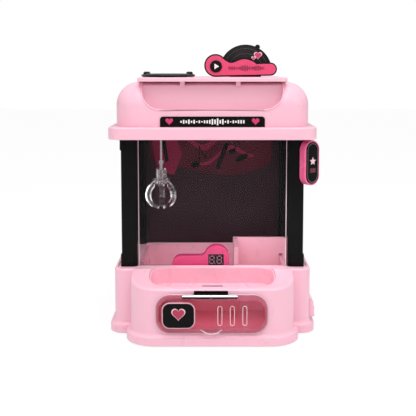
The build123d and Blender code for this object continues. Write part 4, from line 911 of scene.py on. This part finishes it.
maroon = [ribbonOutline(-0.095, 0.090, 0.222, 0.012, 0.072, 0.7, 0.9)]
addPlates("backdropPanel", maroon, cardPlace, printed["panel"], maroonInk, "cabinet", "card", back=0.0)
crimson = [np.array([[-0.095, 0.261], [-0.083, 0.196], [-0.058, 0.190], [-0.046, 0.222], [-0.060, 0.261]]),
           ribbonOutline(-0.040, 0.044, 0.236, 0.014, 0.010, 1.3, 2.0),
           ribbonOutline(-0.020, 0.062, 0.214, 0.014, 0.007, 1.1, 4.0)]
addPlates("backdropRibbons", crimson, cardPlace, printed["ribbons"], crimsonInk, "cabinet", "card", back=0.0)
notes = noteOutlines(-0.026, 0.206, 0.019) + noteOutlines(0.030, 0.226, 0.015)
notes += [np.array([[-0.081, 0.262], [-0.074, 0.262], [-0.066, 0.212], [-0.071, 0.208]]),
          np.array([[0.004, 0.199], [0.010, 0.199], [0.026, 0.238], [0.018, 0.238]]),
          ellipseOutline(0.011, 0.0045, 30, 0.5) + np.array([0.044, 0.216]),
          ellipseOutline(0.014, 0.0050, 30, 0.2) + np.array([-0.038, 0.250])]
addPlates("backdropNotes", notes, cardPlace, printed["notes"], noteInk, "cabinet", "card", back=0.0)
print("backdrop printed")


# Post screws, and painted highlights along the front pane's side edges
fixing = {"radius": 0.0024, "dome": 0.0011, "slot": 0.00045, "slotDepth": 0.0006, "slotReach": 0.62,
          "seated": 0.0004, "x": 0.1172, "fromSocket": 0.0115, "fromRoof": 0.0085, "around": 32, "rows": 8}
socketLow = boxOf("post_sockets")[0]


def screwHead(x, z, front, facts):
    # a dome revolved about Y with a cross cut: r and depth follow a quarter ellipse, dipped in the slots
    n, rows, radius = facts["around"], facts["rows"], facts["radius"]
    a = np.linspace(0, 2 * np.pi, n, endpoint=False)
    t = np.linspace(0.02, np.pi / 2, rows)
    depth = facts["dome"] * np.cos(t)
    rr, aa = (radius * np.sin(t))[:, None] * np.ones(n), a[None, :] * np.ones((rows, 1))
    px, pz = rr * np.cos(aa), rr * np.sin(aa)
    slotHere = (np.minimum(np.abs(px), np.abs(pz)) < facts["slot"]) & (rr < radius * facts["slotReach"])
    d = depth[:, None] - facts["slotDepth"] * slotHere
    grid = np.stack([x + px, front - d, z + pz], -1)
    back = np.stack([x + radius * np.cos(a), np.full(n, front + facts["seated"]), z + radius * np.sin(a)], -1)
    points = np.concatenate([grid.reshape(-1, 3), back])
    i, j = np.meshgrid(np.arange(rows), np.arange(n), indexing="ij")
    j2 = (j + 1) % n
    quads = np.stack([i * n + j, i * n + j2, (i + 1) * n + j2, (i + 1) * n + j], -1).reshape(-1, 4)
    return points, quads.tolist() + [np.arange(n)[::-1].tolist(), (np.arange(n) + rows * n).tolist()]


heads = []
for side in (-1, 1):
    for z in (socketLow[2] + fixing["fromSocket"], boxOf("roof_frame")[0][2] - fixing["fromRoof"]):
        heads.append(screwHead(side * fixing["x"], z, socketLow[1], fixing))
addMesh("socketScrews", *joinMeshes(heads), moulded["postBlack"], "cabinet", "black_plastic")

# pale lines painted as the highlights on the front pane's side edges
paneHighlight = {"x": 0.0990, "foot": 0.001, "top": 0.2575, "ahead": 0.0005, "radius": 0.00045}
paneLow = boxOf("front_pane")[0]
paneHighlights = []
for side in (-1, 1):
    z = np.linspace(paneLow[2] + paneHighlight["foot"], paneHighlight["top"], 2)
    path = np.stack([np.full(2, side * paneHighlight["x"]), np.full(2, paneLow[1] - paneHighlight["ahead"]), z], 1)
    paneHighlights.append(sweepMesh(path, paneHighlight["radius"], 8))
addMesh("panePaintedHighlight", *joinMeshes(paneHighlights), moulded["paintedEdgeHighlight"], "cabinet", "clear_pane")
print("screws and trim in place")


# Hoist cord
cord = {"diameter": 0.0030, "strand": 0.00066, "pitch": 0.0074, "sides": 12}
cordLow, cordHigh = boxOf("hoist_cord")
cordMid = (cordLow + cordHigh) / 2
route = bpy.data.curves.new("hoistRoute", "CURVE")
route.dimensions = "3D"
spline = route.splines.new("NURBS")
spline.points.add(3)
for point, share in zip(spline.points, (0.0, 0.33, 0.67, 1.0)):
    point.co = (cordMid[0], cordMid[1], cordHigh[2] + (cordLow[2] - cordHigh[2]) * share, 1)
spline.order_u = 3
spline.use_endpoint_u = True
spline.resolution_u = 24
routeObject = bpy.data.objects.new("hoistRoute", route)
line = bpy.data.meshes.new_from_object(routeObject)
routePoints = np.array([v.co[:] for v in line.vertices])
bpy.data.objects.remove(routeObject)


def strandPath(route, phase, facts):
    # the route's points, each moved off the line by e (cos a, sin a) with a = 2 pi s / pitch + phase
    reach = np.concatenate([[0], np.cumsum(np.linalg.norm(np.diff(route, axis=0), axis=1))])
    s = np.linspace(0, reach[-1], 220)
    middle = np.stack([np.interp(s, reach, route[:, k]) for k in range(3)], 1)
    angle = 2 * np.pi * s / facts["pitch"] + phase
    off = facts["diameter"] / 2 - facts["strand"]
    return middle + off * np.stack([np.cos(angle), np.sin(angle), np.zeros(len(s))], 1)


strands = [sweepMesh(strandPath(routePoints, phase, cord), cord["strand"], cord["sides"])
           for phase in (0, np.pi)]
twisted = addMesh("twistedHoistCord", *joinMeshes(strands), cordWhite, None, None)
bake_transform(twisted)
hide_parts("hoist_cord")
print("hoist cord twisted")


# Ribs moulded round the claw's hub
hub = {"ribs": 8, "rib": 0.0007, "sides": 8, "reach": 0.0066, "foot": 0.0143, "top": 0.0006, "steps": 6}
hubTop = boxOf("claw_hub")[1][2]
plungerLow, plungerHigh = boxOf("claw_plunger")
hubMid = (plungerLow + plungerHigh) / 2
ribs = []
for i in range(hub["ribs"]):
    angle = 2 * np.pi * (i + 0.5) / hub["ribs"]
    z = np.linspace(hubTop - hub["foot"], hubTop - hub["top"], hub["steps"])
    path = np.stack([np.full(hub["steps"], hubMid[0] + hub["reach"] * np.cos(angle)),
                     np.full(hub["steps"], hubMid[1] + hub["reach"] * np.sin(angle)), z], 1)
    ribs.append(sweepMesh(path, hub["rib"], hub["sides"]))
addMesh("hubRibs", *joinMeshes(ribs), clawClear, "claw", "claw_clear")


# Bead round the finger recess in the dome
bead = {"radius": 0.0011, "halfWidth": 0.0930, "corner": 0.0260, "bottom": 0.2960, "edgeRound": 0.0310,
        "domeTop": 0.3325, "below": 0.0006}
domeLow = boxOf("roof_dome")[0]


def beadPath(facts):
    # down one side, round both corners and up the other; y follows the dome's rounded shoulder,
    # y = front + R - sqrt(R^2 - (z - (top - R))^2) above top - R
    top = facts["domeTop"] - facts["below"]
    z0, r, x = facts["bottom"], facts["corner"], facts["halfWidth"]
    down = np.linspace(top, z0 + r, 24)
    a = np.linspace(np.pi, 1.5 * np.pi, 20)
    leftSide = np.stack([np.full(24, -x), down], 1)
    leftTurn = np.stack([-x + r + r * np.cos(a), z0 + r + r * np.sin(a)], 1)
    half = np.concatenate([leftSide, leftTurn[1:]])
    both = np.concatenate([half, half[::-1] * [-1, 1]])
    above = np.clip(both[:, 1] - (facts["domeTop"] - facts["edgeRound"]), 0, None)
    y = domeLow[1] + facts["edgeRound"] - np.sqrt(facts["edgeRound"] ** 2 - above ** 2)
    return np.stack([both[:, 0], y, both[:, 1]], 1)


addMesh("recessBead", *sweepMesh(beadPath(bead), bead["radius"], 12), moulded["shellPink"], "cabinet",
        "shell_pink")
print("hub ribs and recess bead in place")


# Camera, lights and floor
# the camera looks only a little down, so that the uprights stay nearly parallel, and its shift frames
# the machine
view = {"lens": 67.5, "height": 0.3480, "distance": 1.0105, "shiftX": -0.0106, "shiftY": -0.151, "pitch": 5.5,
        "flange": 0.008}
bodyFront = boxOf("roof_frame")[0][1] + view["flange"]
camera = bpy.data.cameras.new("camera")
camera.lens = view["lens"]
camera.sensor_width = 36
camera.shift_x, camera.shift_y = view["shiftX"], view["shiftY"]
camera.dof.use_dof = False
eye = bpy.data.objects.new("camera", camera)
eye.location = (0, bodyFront - view["distance"], view["height"])
eye.rotation_euler = (math.pi / 2 - math.radians(view["pitch"]), 0, 0)
bpy.context.scene.collection.objects.link(eye)
bpy.context.scene.camera = eye

floorMaterial, floorNodes, floorLinks = newMaterial("paleFloor")
floorOut = floorNodes.new("ShaderNodeOutputMaterial")
floorOut.label = "Surface out"
floorPaint = floorNodes.new("ShaderNodeBsdfPrincipled")
floorPaint.label = "Pale paint"
floorPlace = floorNodes.new("ShaderNodeTexCoord")
floorPlace.label = "Place on the floor"
floorNoise = floorNodes.new("ShaderNodeTexNoise")
floorNoise.label = "Faint unevenness"
floorLevel = floorNodes.new("ShaderNodeMapRange")
floorLevel.label = "Gloss drift"
floorPaint.inputs["Base Color"].default_value = (0.80, 0.79, 0.795, 1)
floorGlow = floorNodes.new("ShaderNodeEmission")
floorGlow.label = "White sweep"
floorRay = floorNodes.new("ShaderNodeLightPath")
floorRay.label = "What the eye sees directly"
floorMix = floorNodes.new("ShaderNodeMixShader")
floorMix.label = "Paint with the sweep over it"
floorShare = floorNodes.new("ShaderNodeMath")
floorShare.label = "Share of the sweep"
floorShare.operation = "MULTIPLY"
floorShare.inputs[1].default_value = 0.8
floorGlow.inputs["Strength"].default_value = 1.06
floorLevel.inputs["To Min"].default_value = 0.55
floorLevel.inputs["To Max"].default_value = 0.7
floorNoise.inputs["Scale"].default_value = 3
floorLinks.new(floorPlace.outputs["Object"], floorNoise.inputs["Vector"])
floorLinks.new(floorNoise.outputs["Fac"], floorLevel.inputs["Value"])
floorLinks.new(floorLevel.outputs["Result"], floorPaint.inputs["Roughness"])
floorLinks.new(floorRay.outputs["Is Camera Ray"], floorShare.inputs[0])
floorLinks.new(floorShare.outputs["Value"], floorMix.inputs["Fac"])
floorLinks.new(floorPaint.outputs["BSDF"], floorMix.inputs[1])
floorLinks.new(floorGlow.outputs["Emission"], floorMix.inputs[2])
floorLinks.new(floorMix.outputs["Shader"], floorOut.inputs["Surface"])
layOut(floorMaterial.node_tree, {"Gloss": [floorPlace, floorNoise, floorLevel],
                                 "Surface": [floorRay, floorShare, floorPaint, floorGlow, floorMix,
                                             floorOut]})
floorHalf = 6.0
floorCorners = floorHalf * np.array([[-1, -1, 0], [1, -1, 0], [1, 1, 0], [-1, 1, 0]])
floor = addMesh("floor", floorCorners, [[0, 1, 2, 3]], floorMaterial, None, None)

# the studio is white to the eye, and grey at eye level with a bright ceiling to whatever it lights
world = bpy.data.worlds.new("studio")
bpy.context.scene.world = world
world.use_nodes = True
sky, skyLinks = world.node_tree.nodes, world.node_tree.links
sky.clear()
skyOut = sky.new("ShaderNodeOutputWorld")
skyOut.label = "Studio out"
skyRay = sky.new("ShaderNodeLightPath")
skyRay.label = "What the eye sees directly"
skyPlace = sky.new("ShaderNodeTexCoord")
skyPlace.label = "Direction"
skySplit = sky.new("ShaderNodeSeparateXYZ")
skySplit.label = "Height of the direction"
skyLevel = sky.new("ShaderNodeMapRange")
skyLevel.label = "Eye level to ceiling"
skyLight = sky.new("ShaderNodeBackground")
skyLight.label = "Light from the studio"
skyWhite = sky.new("ShaderNodeBackground")
skyWhite.label = "White backdrop"
skyMix = sky.new("ShaderNodeMixShader")
skyMix.label = "Backdrop or light"
skyLevel.inputs["From Min"].default_value = 0.0
skyLevel.inputs["From Max"].default_value = 0.9
skyLevel.inputs["To Min"].default_value = 0.36
skyLevel.inputs["To Max"].default_value = 1.0
skyLight.inputs["Color"].default_value = (1.0, 0.995, 1.0, 1)
skyWhite.inputs["Strength"].default_value = 1.0
skyWhite.inputs["Color"].default_value = (1, 1, 1, 1)
skyLinks.new(skyPlace.outputs["Generated"], skySplit.inputs["Vector"])
skyLinks.new(skySplit.outputs["Z"], skyLevel.inputs["Value"])
skyLinks.new(skyLevel.outputs["Result"], skyLight.inputs["Strength"])
skyLinks.new(skyRay.outputs["Is Camera Ray"], skyMix.inputs["Fac"])
skyLinks.new(skyLight.outputs["Background"], skyMix.inputs[1])
skyLinks.new(skyWhite.outputs["Background"], skyMix.inputs[2])
skyLinks.new(skyMix.outputs["Shader"], skyOut.inputs["Surface"])
layOut(world.node_tree, {"Direction": [skyPlace, skySplit, skyLevel],
                         "Studio": [skyRay, skyLight, skyWhite, skyMix, skyOut]})

# the large softboxes also show as reflections, the small fills inside the cabinet don't
lamps = {
    "topSoftbox": {"at": (0.1, -0.45, 1.5), "toward": (0, 0, 0.17), "size": (1.3, 1.3), "power": 9.0},
    "frontSoftbox": {"at": (0.0, -0.80, 0.90), "toward": (0, 0, 0.3), "size": (0.7, 0.7), "power": 2.3},
    "leftSoftbox": {"at": (-1.4, -0.9, 0.8), "toward": (0, 0, 0.17), "size": (1.0, 1.0), "power": 2.0},
    "rightSoftbox": {"at": (1.5, -0.7, 0.7), "toward": (0, 0, 0.17), "size": (1.0, 1.0), "power": 3.0},
    "cabinetFill": {"at": (0.01, -0.062, 0.165), "toward": (0.03, 0.05, 0.07), "size": (0.17, 0.05),
                    "power": 0.075},
    "chuteFill": {"at": (0.067, -0.030, 0.120), "toward": (0.067, -0.045, 0.03), "size": (0.03, 0.03),
                  "power": 0.008},
    "outletFill": {"at": (0.0, -0.117, 0.059), "toward": (0.0, -0.06, 0.035), "size": (0.11, 0.010),
                   "power": 0.020},
}
for name, facts in lamps.items():
    light = bpy.data.lights.new(name, "AREA")
    light.shape = "RECTANGLE"
    light.size, light.size_y = facts["size"]
    light.energy = facts["power"]
    lamp = bpy.data.objects.new(name, light)
    lamp.location = facts["at"]
    aim = Vector(facts["toward"]) - Vector(facts["at"])
    lamp.rotation_euler = aim.to_track_quat("-Z", "Y").to_euler()
    lamp.visible_camera = False
    lamp.visible_glossy = facts["power"] > 1
    bpy.context.scene.collection.objects.link(lamp)
bpy.context.scene.view_settings.view_transform = "Standard"
print("camera and lights set")
